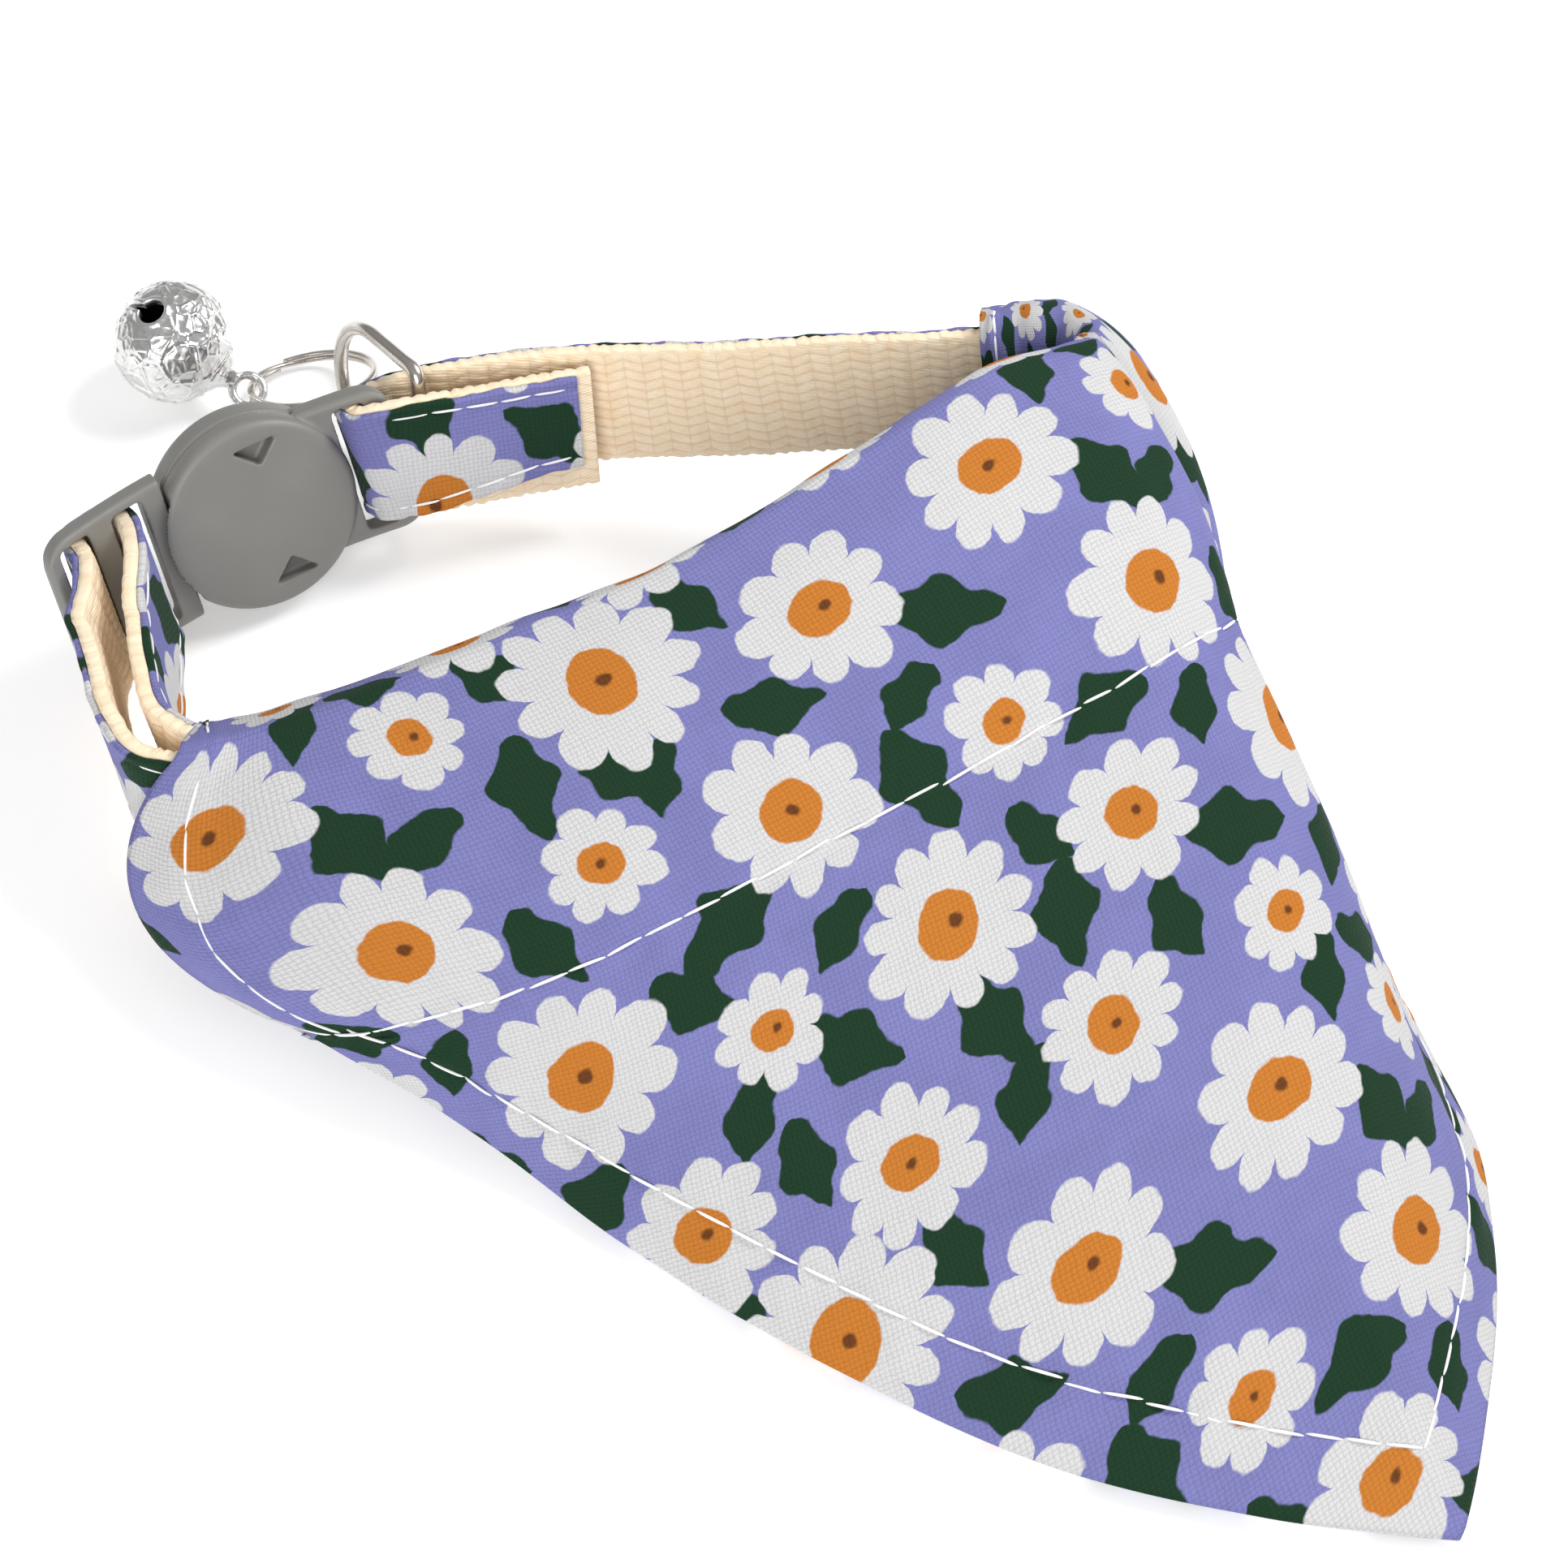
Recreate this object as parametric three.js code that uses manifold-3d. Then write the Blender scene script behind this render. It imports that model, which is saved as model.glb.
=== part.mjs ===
// Pet bandana collar: a small buckled collar threaded through the sleeve of a
// triangular cotton bandana, with a jingle bell on a split ring.
// Units are millimetres, +Z is up, and the collar lies on the plane z = 0.

import * as THREE from "three";
import { mergeVertices } from "three/addons/utils/BufferGeometryUtils.js";
import Module from "manifold-3d";

const wasm = await Module();
wasm.setup();

// ---------------------------------------------------------------- dimensions

const GAP = 0.3; // clearance between pieces that touch
const CUT_PAST = 1; // how far a cutting solid reaches past what it cuts

// Collar strap: woven webbing with a printed cotton facing on its outer side.
const STRAP_WIDTH = 10;
const WEBBING_THICKNESS = 1.0;
const FACING_THICKNESS = 1.0;
const FACING_GAP = 0.25; // between the webbing and the facing
const FACING_WIDTH = 9.7;
const STRAP_STEP = 2.6; // length of one straight stretch of the sweep
const EASY_BEND = 0.28; // radians that a full stretch may turn
const FINEST_STEP = 3.2; // how many times shorter than a full stretch one may be
const RAW_END = 1.2; // webbing that shows past each end of the facing

// Bandana: a pentagon of printed cotton, its top strip folded into a sleeve.
const CLOTH_THICKNESS = 1.0;
const TOP_WIDTH = 132;

// Side-release disc buckle.
const DISC_RADIUS = 8;
const DISC_THICKNESS = 4.7;
const WING_THICKNESS = 2;
const WING_HEIGHT = 12.5;
const WING_BEND_RADIUS = 42; // the wings follow a neck of this radius
const SLOT_HEIGHT = 10.9;
const RIM_ROUNDING = 0.7;

// Metal fittings.
const D_WIRE = 1.15;
const D_HALF_WIDTH = 6.3;
const D_LEG = 7.0;
const RING_WIRE = 0.75;
const RING_RADIUS = 5.0;
const BELL_RADIUS = 4.85;
const BELL_WALL = 0.6;
const BELL_SLIT = { // its holes lie "turn" off the axis, and "spin" sets it off the eye's line
  turn: THREE.MathUtils.degToRad(62), spin: THREE.MathUtils.degToRad(89),
  width: 0.7, holeRadius: 1.1,
};
const BELL_COLLAR = { top: 0.7, foot: 1.6, height: 1.4, sunk: 0.3 };

// ------------------------------------------------------------------- helpers

const vec = (x, y, z) => new THREE.Vector3(x, y, z);
const row = (p) => vec(p[0], p[1], p[2]);
const mix = (a, b, t) => a.clone().lerp(b, t);

function solidFrom(geometry) {
  const bare = geometry.index ? geometry.toNonIndexed() : geometry.clone();
  bare.deleteAttribute("normal");
  bare.deleteAttribute("uv");
  const merged = mergeVertices(bare, 1e-5);
  const mesh = new wasm.Mesh({
    numProp: 3,
    vertProperties: new Float32Array(merged.attributes.position.array),
    triVerts: new Uint32Array(merged.index.array),
  });
  return new wasm.Manifold(mesh);
}

// The main body of a solid that a trim has left crumbs on.
function largest(solid) {
  const bodies = solid.decompose();
  return bodies.reduce((best, body) => (body.volume() > best.volume() ? body : best));
}

function geometryFrom(solid) {
  const mesh = solid.getMesh();
  const geometry = new THREE.BufferGeometry();
  geometry.setAttribute("position", new THREE.BufferAttribute(mesh.vertProperties, 3));
  geometry.setIndex(new THREE.BufferAttribute(mesh.triVerts, 1));
  return geometry;
}

// A closed solid from rings of points. Every ring has the same point count, and
// the rings turn counter-clockwise seen from the far end of the sweep.
function loft(rings, isLoop = false) {
  const count = rings[0].length;
  const positions = rings.flat().flatMap((p) => [p.x, p.y, p.z]);
  const index = [];
  const spans = isLoop ? rings.length : rings.length - 1;
  for (let i = 0; i < spans; i += 1) {
    const a = i * count;
    const b = ((i + 1) % rings.length) * count;
    for (let j = 0; j < count; j += 1) {
      const k = (j + 1) % count;
      if (2 * j < count) index.push(a + j, a + k, b + k, a + j, b + k, b + j);
      else index.push(a + j, a + k, b + j, a + k, b + k, b + j);
    }
  }
  if (!isLoop) {
    const last = (rings.length - 1) * count;
    for (let j = 1; j < count - 1; j += 1) {
      index.push(0, j + 1, j);
      index.push(last, last + j, last + j + 1);
    }
  }
  const geometry = new THREE.BufferGeometry();
  geometry.setAttribute("position", new THREE.Float32BufferAttribute(positions, 3));
  geometry.setIndex(index);
  return geometry;
}

// Cross-section points round a centre, in the plane of two unit vectors.
function sectionRing(centre, across, out, outline) {
  return outline.map(([a, b]) =>
    centre.clone().addScaledVector(across, a).addScaledVector(out, b));
}

function circleOutline(radius, sides) {
  const outline = [];
  for (let i = 0; i < sides; i += 1) {
    const angle = (2 * Math.PI * i) / sides;
    outline.push([radius * Math.cos(angle), radius * Math.sin(angle)]);
  }
  return outline;
}

// Round wire swept along a closed centre line that lies in one plane.
function wireLoop(centreLine, planeNormal, diameter, sides) {
  const outline = circleOutline(diameter / 2, sides);
  const count = centreLine.length;
  const rings = centreLine.map((point, i) => {
    const before = centreLine[(i + count - 1) % count];
    const after = centreLine[(i + 1) % count];
    const run = after.clone().sub(before).normalize();
    const side = new THREE.Vector3().crossVectors(run, planeNormal).normalize();
    return sectionRing(point, planeNormal, side, outline);
  });
  return loft(rings, true);
}

// A sheet of even thickness from a grid of middle-surface points.
function sheet(grid, thickness) {
  const rows = grid.length;
  const columns = grid[0].length;
  const half = thickness / 2;
  const normalAt = (i, j) => {
    const down = grid[Math.min(i + 1, rows - 1)][j].clone().sub(grid[Math.max(i - 1, 0)][j]);
    const along = grid[i][Math.min(j + 1, columns - 1)].clone().sub(grid[i][Math.max(j - 1, 0)]);
    return down.cross(along).normalize();
  };
  const positions = [];
  for (const side of [1, -1]) {
    for (let i = 0; i < rows; i += 1) {
      for (let j = 0; j < columns; j += 1) {
        const p = grid[i][j].clone().addScaledVector(normalAt(i, j), side * half);
        positions.push(p.x, p.y, p.z);
      }
    }
  }
  const index = [];
  const back = rows * columns;
  const quad = (a, b, c, d) => index.push(a, b, c, a, c, d);
  for (let i = 0; i < rows - 1; i += 1) {
    for (let j = 0; j < columns - 1; j += 1) {
      const a = i * columns + j;
      const c = a + columns;
      quad(a, c, c + 1, a + 1);
      quad(back + a, back + a + 1, back + c + 1, back + c);
    }
  }
  const rim = [];
  for (let j = 0; j < columns - 1; j += 1) rim.push(j);
  for (let i = 0; i < rows - 1; i += 1) rim.push(i * columns + columns - 1);
  for (let j = columns - 1; j > 0; j -= 1) rim.push((rows - 1) * columns + j);
  for (let i = rows - 1; i > 0; i -= 1) rim.push(i * columns);
  rim.forEach((a, i) => {
    const b = rim[(i + 1) % rim.length];
    quad(a, b, back + b, back + a);
  });
  const geometry = new THREE.BufferGeometry();
  geometry.setAttribute("position", new THREE.Float32BufferAttribute(positions, 3));
  geometry.setIndex(index);
  return geometry;
}

const group = new THREE.Group();
group.name = "pet_bandana_collar";

function addPiece(name, geometry, finish) {
  const mesh = new THREE.Mesh(geometry, new THREE.MeshStandardMaterial(finish));
  mesh.name = name;
  group.add(mesh);
  return mesh;
}

const FINISHES = {
  greyPlastic: { color: 0x8c8c86, roughness: 0.6, metalness: 0 },
  nickel: { color: 0xc9c4bb, roughness: 0.25, metalness: 1 },
  silver: { color: 0xd8d8d8, roughness: 0.3, metalness: 1 },
  webbing: { color: 0xf0dcc0, roughness: 0.95, metalness: 0 },
  print: { color: 0xa19ce0, roughness: 0.9, metalness: 0 },
};

// -------------------------------------------------------------------- buckle
// The buckle has axes of its own: "run" along the strap, "rise" across it, and
// "face" out of the disc towards the wearer's neck.

const face = vec(0.42, -0.81, 0.4).normalize();
const rise = vec(-0.24, 0.325, 0.91);
rise.addScaledVector(face, -rise.dot(face)).normalize();
const run = new THREE.Vector3().crossVectors(rise, face);
const discCentre = vec(-40.9, 16.5, 8);

const buckleFrame = new THREE.Matrix4().makeBasis(run, rise, face).setPosition(discCentre);
const inBuckle = (a, b, c) => vec(a, b, c).applyMatrix4(buckleFrame);
const wingLift = (a) => WING_BEND_RADIUS - Math.sqrt(WING_BEND_RADIUS ** 2 - a * a);

function block(a0, a1, b0, b1, c0, c1) {
  const geometry = new THREE.BoxGeometry(a1 - a0, b1 - b0, c1 - c0);
  return geometry.translate((a0 + a1) / 2, (b0 + b1) / 2, (c0 + c1) / 2);
}

// A curved plate from a0 to a1 along the strap, with corners rounded at its end.
function wingPlate(a0, a1, endRadius) {
  const half = WING_HEIGHT / 2;
  const outward = Math.sign(a1 - a0);
  const steps = 9;
  const rings = [];
  for (let i = 0; i <= steps; i += 1) {
    const a = a0 + ((a1 - a0) * i) / steps;
    const past = Math.max(0, endRadius - Math.abs(a1 - a));
    const inset = endRadius - Math.sqrt(Math.max(0, endRadius ** 2 - past ** 2));
    const reach = half - inset * 0.8;
    const lift = wingLift(a);
    const t = WING_THICKNESS / 2;
    const corners = [[-reach, -t], [reach, -t], [reach, t], [-reach, t]];
    rings.push(corners.map(([b, c]) => vec(a, b, lift + c)));
  }
  if (outward < 0) rings.reverse();
  return solidFrom(loft(rings));
}

function discBody() {
  const half = DISC_THICKNESS / 2;
  const edge = RIM_ROUNDING;
  const profile = [
    [0, -half], [DISC_RADIUS - edge, -half], [DISC_RADIUS - edge * 0.3, -half + edge * 0.3],
    [DISC_RADIUS, -half + edge], [DISC_RADIUS, half - edge],
    [DISC_RADIUS - edge * 0.3, half - edge * 0.3], [DISC_RADIUS - edge, half], [0, half],
  ].map(([x, y]) => new THREE.Vector2(x, y));
  return solidFrom(new THREE.LatheGeometry(profile, 40).rotateX(Math.PI / 2));
}

// Pointed window near the rim, its long side towards the rim.
function windowCutter(side) {
  const outline = new THREE.Shape([
    new THREE.Vector2(-0.6, 5.9), new THREE.Vector2(2.9, 5.9), new THREE.Vector2(1.15, 4.3),
  ].map((p) => new THREE.Vector2(p.x, side * p.y)));
  const depth = DISC_THICKNESS / 2 + CUT_PAST;
  return solidFrom(new THREE.ExtrudeGeometry(outline, { depth, bevelEnabled: false }));
}

const HOUSING_WING = { start: 5.2, end: 12.3, corner: 2.2, slot: [7.7, 10.4] };
const INSERT_WING = {
  start: -6.6, end: -17.4, corner: 2.4, slots: [[-11.2, -8.4], [-16.1, -13.2]],
};
const TONGUE = { root: -7.6, reach: 5.6, halfWidth: 5.9, thickness: 1.6 };

function slotCutter([a0, a1]) {
  return solidFrom(block(a0, a1, -SLOT_HEIGHT / 2, SLOT_HEIGHT / 2, -4, 8));
}

function housing() {
  const pocket = solidFrom(block(
    -DISC_RADIUS - CUT_PAST, TONGUE.reach + GAP,
    -TONGUE.halfWidth - GAP, TONGUE.halfWidth + GAP,
    -TONGUE.thickness / 2 - GAP, TONGUE.thickness / 2 + GAP));
  // The mouth of the pocket is wider, to take the shoulder of the insert's wing.
  const mouth = solidFrom(block(-DISC_RADIUS - CUT_PAST, INSERT_WING.start + GAP,
    -WING_HEIGHT / 2 - GAP, WING_HEIGHT / 2 + GAP, -WING_THICKNESS / 2 - GAP,
    WING_THICKNESS / 2 + wingLift(DISC_RADIUS) + GAP));
  return discBody()
    .add(wingPlate(HOUSING_WING.start, HOUSING_WING.end, HOUSING_WING.corner))
    .subtract(slotCutter(HOUSING_WING.slot))
    .subtract(pocket)
    .subtract(mouth)
    .subtract(windowCutter(1))
    .subtract(windowCutter(-1));
}

function insert() {
  const tongue = solidFrom(block(TONGUE.root, TONGUE.reach, -TONGUE.halfWidth,
    TONGUE.halfWidth, -TONGUE.thickness / 2, TONGUE.thickness / 2));
  return wingPlate(INSERT_WING.start, INSERT_WING.end, INSERT_WING.corner)
    .subtract(slotCutter(INSERT_WING.slots[0]))
    .subtract(slotCutter(INSERT_WING.slots[1]))
    .add(tongue);
}

for (const [name, solid] of [["buckle_housing", housing()], ["buckle_insert", insert()]]) {
  addPiece(name, geometryFrom(solid).applyMatrix4(buckleFrame), FINISHES.greyPlastic);
}

// ------------------------------------------------------------- metal fittings

// D-ring: its straight bar lies in the fold of the strap, its bow points out. The
// bar is tipped a little in the fold, and the bow has swung round the bar.
const barCentre = inBuckle(13.9, 0, 2.2);
const barTilt = THREE.MathUtils.degToRad(5);
const barTip = THREE.MathUtils.degToRad(10);
const bowSwing = THREE.MathUtils.degToRad(7);
const barAlong = rise.clone().multiplyScalar(Math.cos(barTilt) * Math.cos(barTip))
  .addScaledVector(face, Math.sin(barTilt))
  .addScaledVector(run, Math.sin(barTip)).normalize();
const bowOut = face.clone().multiplyScalar(-Math.cos(bowSwing))
  .addScaledVector(run, -Math.sin(bowSwing));
bowOut.addScaledVector(barAlong, -bowOut.dot(barAlong)).normalize();

function dRing() {
  const corner = 1.0; // bend radius where the bar meets the legs
  const line = [];
  const put = (b, d) =>
    line.push(barCentre.clone().addScaledVector(barAlong, b).addScaledVector(bowOut, d));
  const bowSteps = 16;
  for (let i = 0; i <= bowSteps; i += 1) {
    const angle = (Math.PI * i) / bowSteps;
    put(D_HALF_WIDTH * Math.cos(angle), D_LEG + D_HALF_WIDTH * Math.sin(angle));
  }
  for (const side of [-1, 1]) {
    const bend = [0, 45, 90].map((degrees) => {
      const angle = THREE.MathUtils.degToRad(degrees);
      return [side * (D_HALF_WIDTH - corner + corner * Math.cos(angle)),
        corner - corner * Math.sin(angle)];
    });
    if (side > 0) bend.reverse();
    bend.forEach(([b, d]) => put(b, d));
  }
  const planeNormal = new THREE.Vector3().crossVectors(barAlong, bowOut).normalize();
  return wireLoop(line, planeNormal, D_WIRE, 10);
}
addPiece("d_ring", dRing(), FINISHES.nickel);

// Split ring, joining the D-ring's bow to the eye of the bell.
const ringCentre = vec(-37.4, 33, 3.2);
const ringSide = vec(0.98, 0.1, 0.12).normalize();
const ringBack = vec(0, 0.9, -0.44);
ringBack.addScaledVector(ringSide, -ringBack.dot(ringSide)).normalize();

function splitRing() {
  const steps = 32;
  const line = circleOutline(RING_RADIUS, steps).map(([a, b]) =>
    ringCentre.clone().addScaledVector(ringSide, a).addScaledVector(ringBack, b));
  const planeNormal = new THREE.Vector3().crossVectors(ringSide, ringBack);
  return wireLoop(line, planeNormal, RING_WIRE, 8);
}
addPiece("split_ring", splitRing(), FINISHES.nickel);

// Jingle bell: a hollow ball with a slit between two round holes, and an eye.
const bellCentre = vec(-48.5, 35.7, BELL_RADIUS);
const bellAxis = vec(0.84, -0.45, -0.31).normalize(); // from the ball to its eye
const EYE = { radius: 1.25, wire: 0.7, offset: 7.1 };

function bell() {
  const ball = solidFrom(new THREE.SphereGeometry(BELL_RADIUS, 20, 12));
  const hollow = solidFrom(new THREE.SphereGeometry(BELL_RADIUS - BELL_WALL, 14, 9));
  const { turn, spin, width, holeRadius } = BELL_SLIT;
  const reach = BELL_RADIUS * Math.sin(turn);
  const slit = block(-reach, reach, -width / 2, width / 2,
    -BELL_RADIUS - CUT_PAST, -BELL_RADIUS * Math.cos(turn) + BELL_WALL);
  let body = ball.subtract(hollow).subtract(solidFrom(slit.rotateZ(spin)));
  for (const side of [-1, 1]) {
    const hole = new THREE.CylinderGeometry(holeRadius, holeRadius, 4 * BELL_WALL, 14);
    hole.rotateX(Math.PI / 2).translate(0, 0, -BELL_RADIUS).rotateY(side * turn).rotateZ(spin);
    body = body.subtract(solidFrom(hole));
  }
  const eye = new THREE.TorusGeometry(EYE.radius, EYE.wire / 2, 8, 18);
  eye.rotateX(Math.PI / 2);
  eye.translate(0, 0, EYE.offset);
  const { top, foot, height, sunk } = BELL_COLLAR;
  const collar = new THREE.CylinderGeometry(top, foot, height, 16).rotateX(Math.PI / 2);
  collar.translate(0, 0, BELL_RADIUS + height / 2 - sunk);
  return body.add(solidFrom(collar)).add(solidFrom(eye));
}

const eyeLine = vec(0.45, 0.8, 0.3); // across the eye's opening
eyeLine.addScaledVector(bellAxis, -eyeLine.dot(bellAxis)).normalize();
const eyeSide = new THREE.Vector3().crossVectors(bellAxis, eyeLine);
const bellFrame = new THREE.Matrix4().makeBasis(eyeLine, eyeSide, bellAxis)
  .setPosition(bellCentre);
addPiece("bell", geometryFrom(bell()).applyMatrix4(bellFrame), FINISHES.silver);

// --------------------------------------------------------------------- strap
// The strap's route at half its width. It starts at the end of the tab, wraps
// round the bar of the housing, goes round the neck and through the sleeve,
// then weaves through the two slots of the insert and runs back into the sleeve.

const strapRoute = [
  vec(-14.6, 22.7, 9.4), vec(-20, 21.8, 9.4),
  inBuckle(16.8, 0, 5), inBuckle(13, 0, 5.2), inBuckle(10.4, 0, 4.9),
  inBuckle(9, 0, 3.2), inBuckle(9, 0, 0.6), inBuckle(9.4, 0, -0.6),
  inBuckle(10.7, 0, -1.15), inBuckle(13.6, 0, -1.05), vec(-22.5, 25, 9.3),
  vec(-14.3, 25.6, 9.8), vec(-4.1, 24.7, 11.3), vec(4.8, 23.8, 13.2), vec(12, 23, 14.5),
  vec(18, 22.8, 15.5), vec(21.9, 22.6, 16.2), vec(23.9, 21.4, 16.7), vec(24.6, 19.4, 17.2),
  vec(23.9, 17.5, 17.7), vec(22, 16.3, 18.1),
  vec(17, 14.3, 18.4), vec(12, 10.6, 18.3), vec(2.6, 4.1, 17.2), vec(-7.4, -1.8, 15.4),
  vec(-18.4, -6.1, 13.1), vec(-29, -10, 11.3), vec(-37.9, -12.8, 10.1),
  vec(-43, -13.9, 9.7), vec(-46.9, -12.4, 9.5), vec(-49.2, -8.6, 9.3), vec(-50.6, -4, 9.2),
  vec(-51.7, 0.6, 9.1), inBuckle(-15.6, -0.5, 6.6), inBuckle(-14.7, -0.15, 4.2),
  inBuckle(-14.6, 0, 1.8), inBuckle(-14.4, 0, 0.3), inBuckle(-13.3, 0, -0.55),
  inBuckle(-12, 0, -0.95), inBuckle(-10.8, 0, -0.9), inBuckle(-9.85, 0, 0.2),
  inBuckle(-9.8, 0, 2.6), inBuckle(-10.5, 0, 5.8), vec(-47.2, 2, 9.1), vec(-46.3, -3.4, 9.2),
  vec(-44.6, -7.6, 9.4), vec(-41.3, -9.8, 9.7), vec(-36.5, -9.7, 10.4), vec(-31, -7.9, 11.2),
];

const strapCurve = new THREE.CatmullRomCurve3(strapRoute, false, "centripetal");
strapCurve.arcLengthDivisions = 900;
const strapLength = strapCurve.getLength();

// Where the strap is, its run, its upward edge direction and its outer side.
function strapFrame(distance) {
  const at = THREE.MathUtils.clamp(distance / strapLength, 0, 1);
  const centre = strapCurve.getPointAt(at);
  const along = strapCurve.getTangentAt(at);
  const across = rise.clone();
  across.addScaledVector(along, -across.dot(along)).normalize();
  const outer = new THREE.Vector3().crossVectors(across, along).normalize();
  return { centre, along, across, outer };
}

// Stretches get shorter where the strap bends, down to a part of a full step.
function strapStations() {
  const stations = [0];
  let distance = 0;
  while (distance < strapLength) {
    const here = strapFrame(distance).along;
    const ahead = strapFrame(distance + STRAP_STEP).along;
    const step = STRAP_STEP / THREE.MathUtils.clamp(here.angleTo(ahead) / EASY_BEND, 1, FINEST_STEP);
    distance = distance + 1.5 * step > strapLength ? strapLength : distance + step;
    stations.push(distance);
  }
  return stations;
}

const stations = strapStations();

// One layer of the strap, from "inner" to "outer" off the middle of its thickness.
function layer(start, end, inner, outer, width) {
  const half = width / 2;
  const outline = [[-half, outer], [half, outer], [half, inner], [-half, inner]];
  const between = stations.filter((distance) => distance > start && distance < end);
  const rings = [start, ...between, end].map((distance) => {
    const frame = strapFrame(distance);
    return sectionRing(frame.centre, frame.across, frame.outer, outline);
  });
  return solidFrom(loft(rings));
}

const strapThickness = WEBBING_THICKNESS + FACING_GAP + FACING_THICKNESS;
const webbingOuter = -strapThickness / 2 + WEBBING_THICKNESS;
const webbing = layer(0, strapLength, -strapThickness / 2, webbingOuter, STRAP_WIDTH);
addPiece("strap_webbing", geometryFrom(webbing), FINISHES.webbing);
const facing = layer(RAW_END, strapLength - RAW_END, webbingOuter + FACING_GAP,
  strapThickness / 2, FACING_WIDTH);
addPiece("strap_facing", geometryFrom(facing), FINISHES.print);

// ------------------------------------------------------------------- bandana
// Each section runs down the cloth, from the fold over the strap to the sleeve's
// seam and on to the hem. "u" is the distance along the top edge of the flat
// cloth and "s" the distance along the strap that the fold lies over. "swell" and
// "belly" are how far the middle of the sleeve and of the panel stand off their
// chords, and "room" is what the inner wall leaves for a second strap layer.

const FOLD_RISE = 1.7; // from the strap's upper edge to the fold
const FOLD_OUT = 0.4;
const WALL_OUT = 2.0; // from the middle of the strap to the sleeve's inner wall
const WALL_FOOT = 1.7; // from the strap's lower edge to the wall under it
const SLEEVE_ROWS = 5;
const PANEL_ROWS = 9;
const COLUMN_STEP = 3.7;
const PLEATS = { from: 78, pitch: 13, depth: 0.9 };
const SLEEVE_SPAN = [60, 176]; // the stretch of the strap that the sleeve is on
const TUCKED_END = 26; // length of the strap's folded end in the sleeve
const CLOTH_SIMPLIFY = 0.06; // detail finer than this is dropped from the cut cloth

const sections = [
  { u: 0, s: 162.5, seam: [-34.6, -29.2, 4], hem: [-34.6, -29.2, 4],
    swell: [-7.8, 1.7, -4.0], belly: [0, 0, 0], room: 4.9 },
  { u: 5, s: 159, seam: [-30.3, -30.8, 6], hem: [-28.6, -33.2, 4],
    swell: [-5.7, -1.6, -2.4], belly: [0, 0, 0], room: 4.9 },
  { u: 11, s: 154, seam: [-24.9, -32, 8.6], hem: [-21.5, -37.3, 2.4],
    swell: [-2, -0.8, 0.9], belly: [0, 0, 0], room: 4.2 },
  { u: 21, s: 144.5, seam: [-15.6, -30.4, 11.4], hem: [-10.5, -45.6, 0.6],
    swell: [0, -0.5, 1], belly: [0, 0, 0.5], room: 3.2 },
  { u: 33, s: 133, seam: [-4.6, -25.4, 13.6], hem: [3.4, -55.3, 0.5],
    swell: [0, -0.3, 1.2], belly: [0, 0, 0.8], room: 0.8 },
  { u: 45, s: 121, seam: [6, -19.8, 15.2], hem: [18.3, -63.3, 0.5],
    swell: [0, 0, 1.3], belly: [0, 0, 1], room: 0 },
  { u: 56, s: 109.5, seam: [15.8, -14.4, 16.4], hem: [33.3, -67.5, 0.5],
    swell: [0, 0, 1.4], belly: [0, 0, 1], room: 0 },
  { u: 66, s: 98.5, seam: [24.3, -9.2, 17.4], hem: [46.6, -69.3, 0.5],
    swell: [0, 0, 1.5], belly: [0, 0, 1], room: 0 },
  { u: 73, s: 92, seam: [30, -5.4, 17.8], hem: [49, -59.8, 0.5],
    swell: [0.4, 0, 1.6], belly: [0.5, 0, 1.5], room: 0 },
  { u: 80, s: 87, seam: [33, -2.6, 16.6], hem: [50.3, -49.8, 0.5],
    swell: [0.8, 0.5, 1.3], belly: [0.6, 0, 1.2], room: 0 },
  { u: 90, s: 84, seam: [33, 1.5, 13], hem: [49.2, -36, 0.5],
    swell: [1, 1, 0.8], belly: [-0.4, 0, 0.6], room: 0 },
  { u: 100, s: 81, seam: [31, 5.5, 10.5], hem: [44.3, -22.5, 0.5],
    swell: [2.5, 3, 0.6], belly: [-0.4, 0, 0.4], room: 0 },
  { u: 110, s: 78.5, seam: [29, 9.5, 8], hem: [37.5, -9.8, 0.5],
    swell: [3.4, 4.6, 0], belly: [0, 0, 0], room: 0 },
  { u: 120, s: 76, seam: [26.5, 13.5, 5], hem: [30.5, 3.2, 0.5],
    swell: [4, 6.2, 0], belly: [0.3, 0.3, 0], room: 0 },
  { u: TOP_WIDTH, s: 73.2, seam: [22.5, 18, 0.5], hem: [22.5, 18, 0.5],
    swell: [2.6, 6.6, 0], belly: [0, 0, 0], room: 0 },
];

// Smooth curve through one column of the table, read at any u. A corner, such as
// the tip of the hem, splits it in two.
function tableCurve(pick, cornerU = 0) {
  const corner = sections.findIndex((section) => section.u >= cornerU);
  const parts = [sections.slice(0, corner + 1), sections.slice(corner)]
    .filter((rows) => rows.length > 1)
    .map((rows) => ({ rows, curve: new THREE.CatmullRomCurve3(rows.map(pick), false, "catmullrom") }));
  return (u) => {
    const { rows, curve } = parts.find((part) => u <= part.rows.at(-1).u + 1e-6);
    const last = rows.length - 1;
    let i = 0;
    while (i < last - 1 && u > rows[i + 1].u) i += 1;
    return curve.getPoint((i + (u - rows[i].u) / (rows[i + 1].u - rows[i].u)) / last);
  };
}

const TIP_U = TOP_WIDTH / 2;
const seamAt = tableCurve((section) => row(section.seam));
const hemAt = tableCurve((section) => row(section.hem), TIP_U);
const swellAt = tableCurve((section) => row(section.swell));
const bellyAt = tableCurve((section) => row(section.belly));
const strapAt = tableCurve((section) => vec(section.s, section.room, 0));

// Point on a shallow bow between two ends, "off" from the chord at its middle.
function bow(start, end, off, t) {
  return mix(start, end, t).addScaledVector(off, 4 * t * (1 - t));
}

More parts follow.
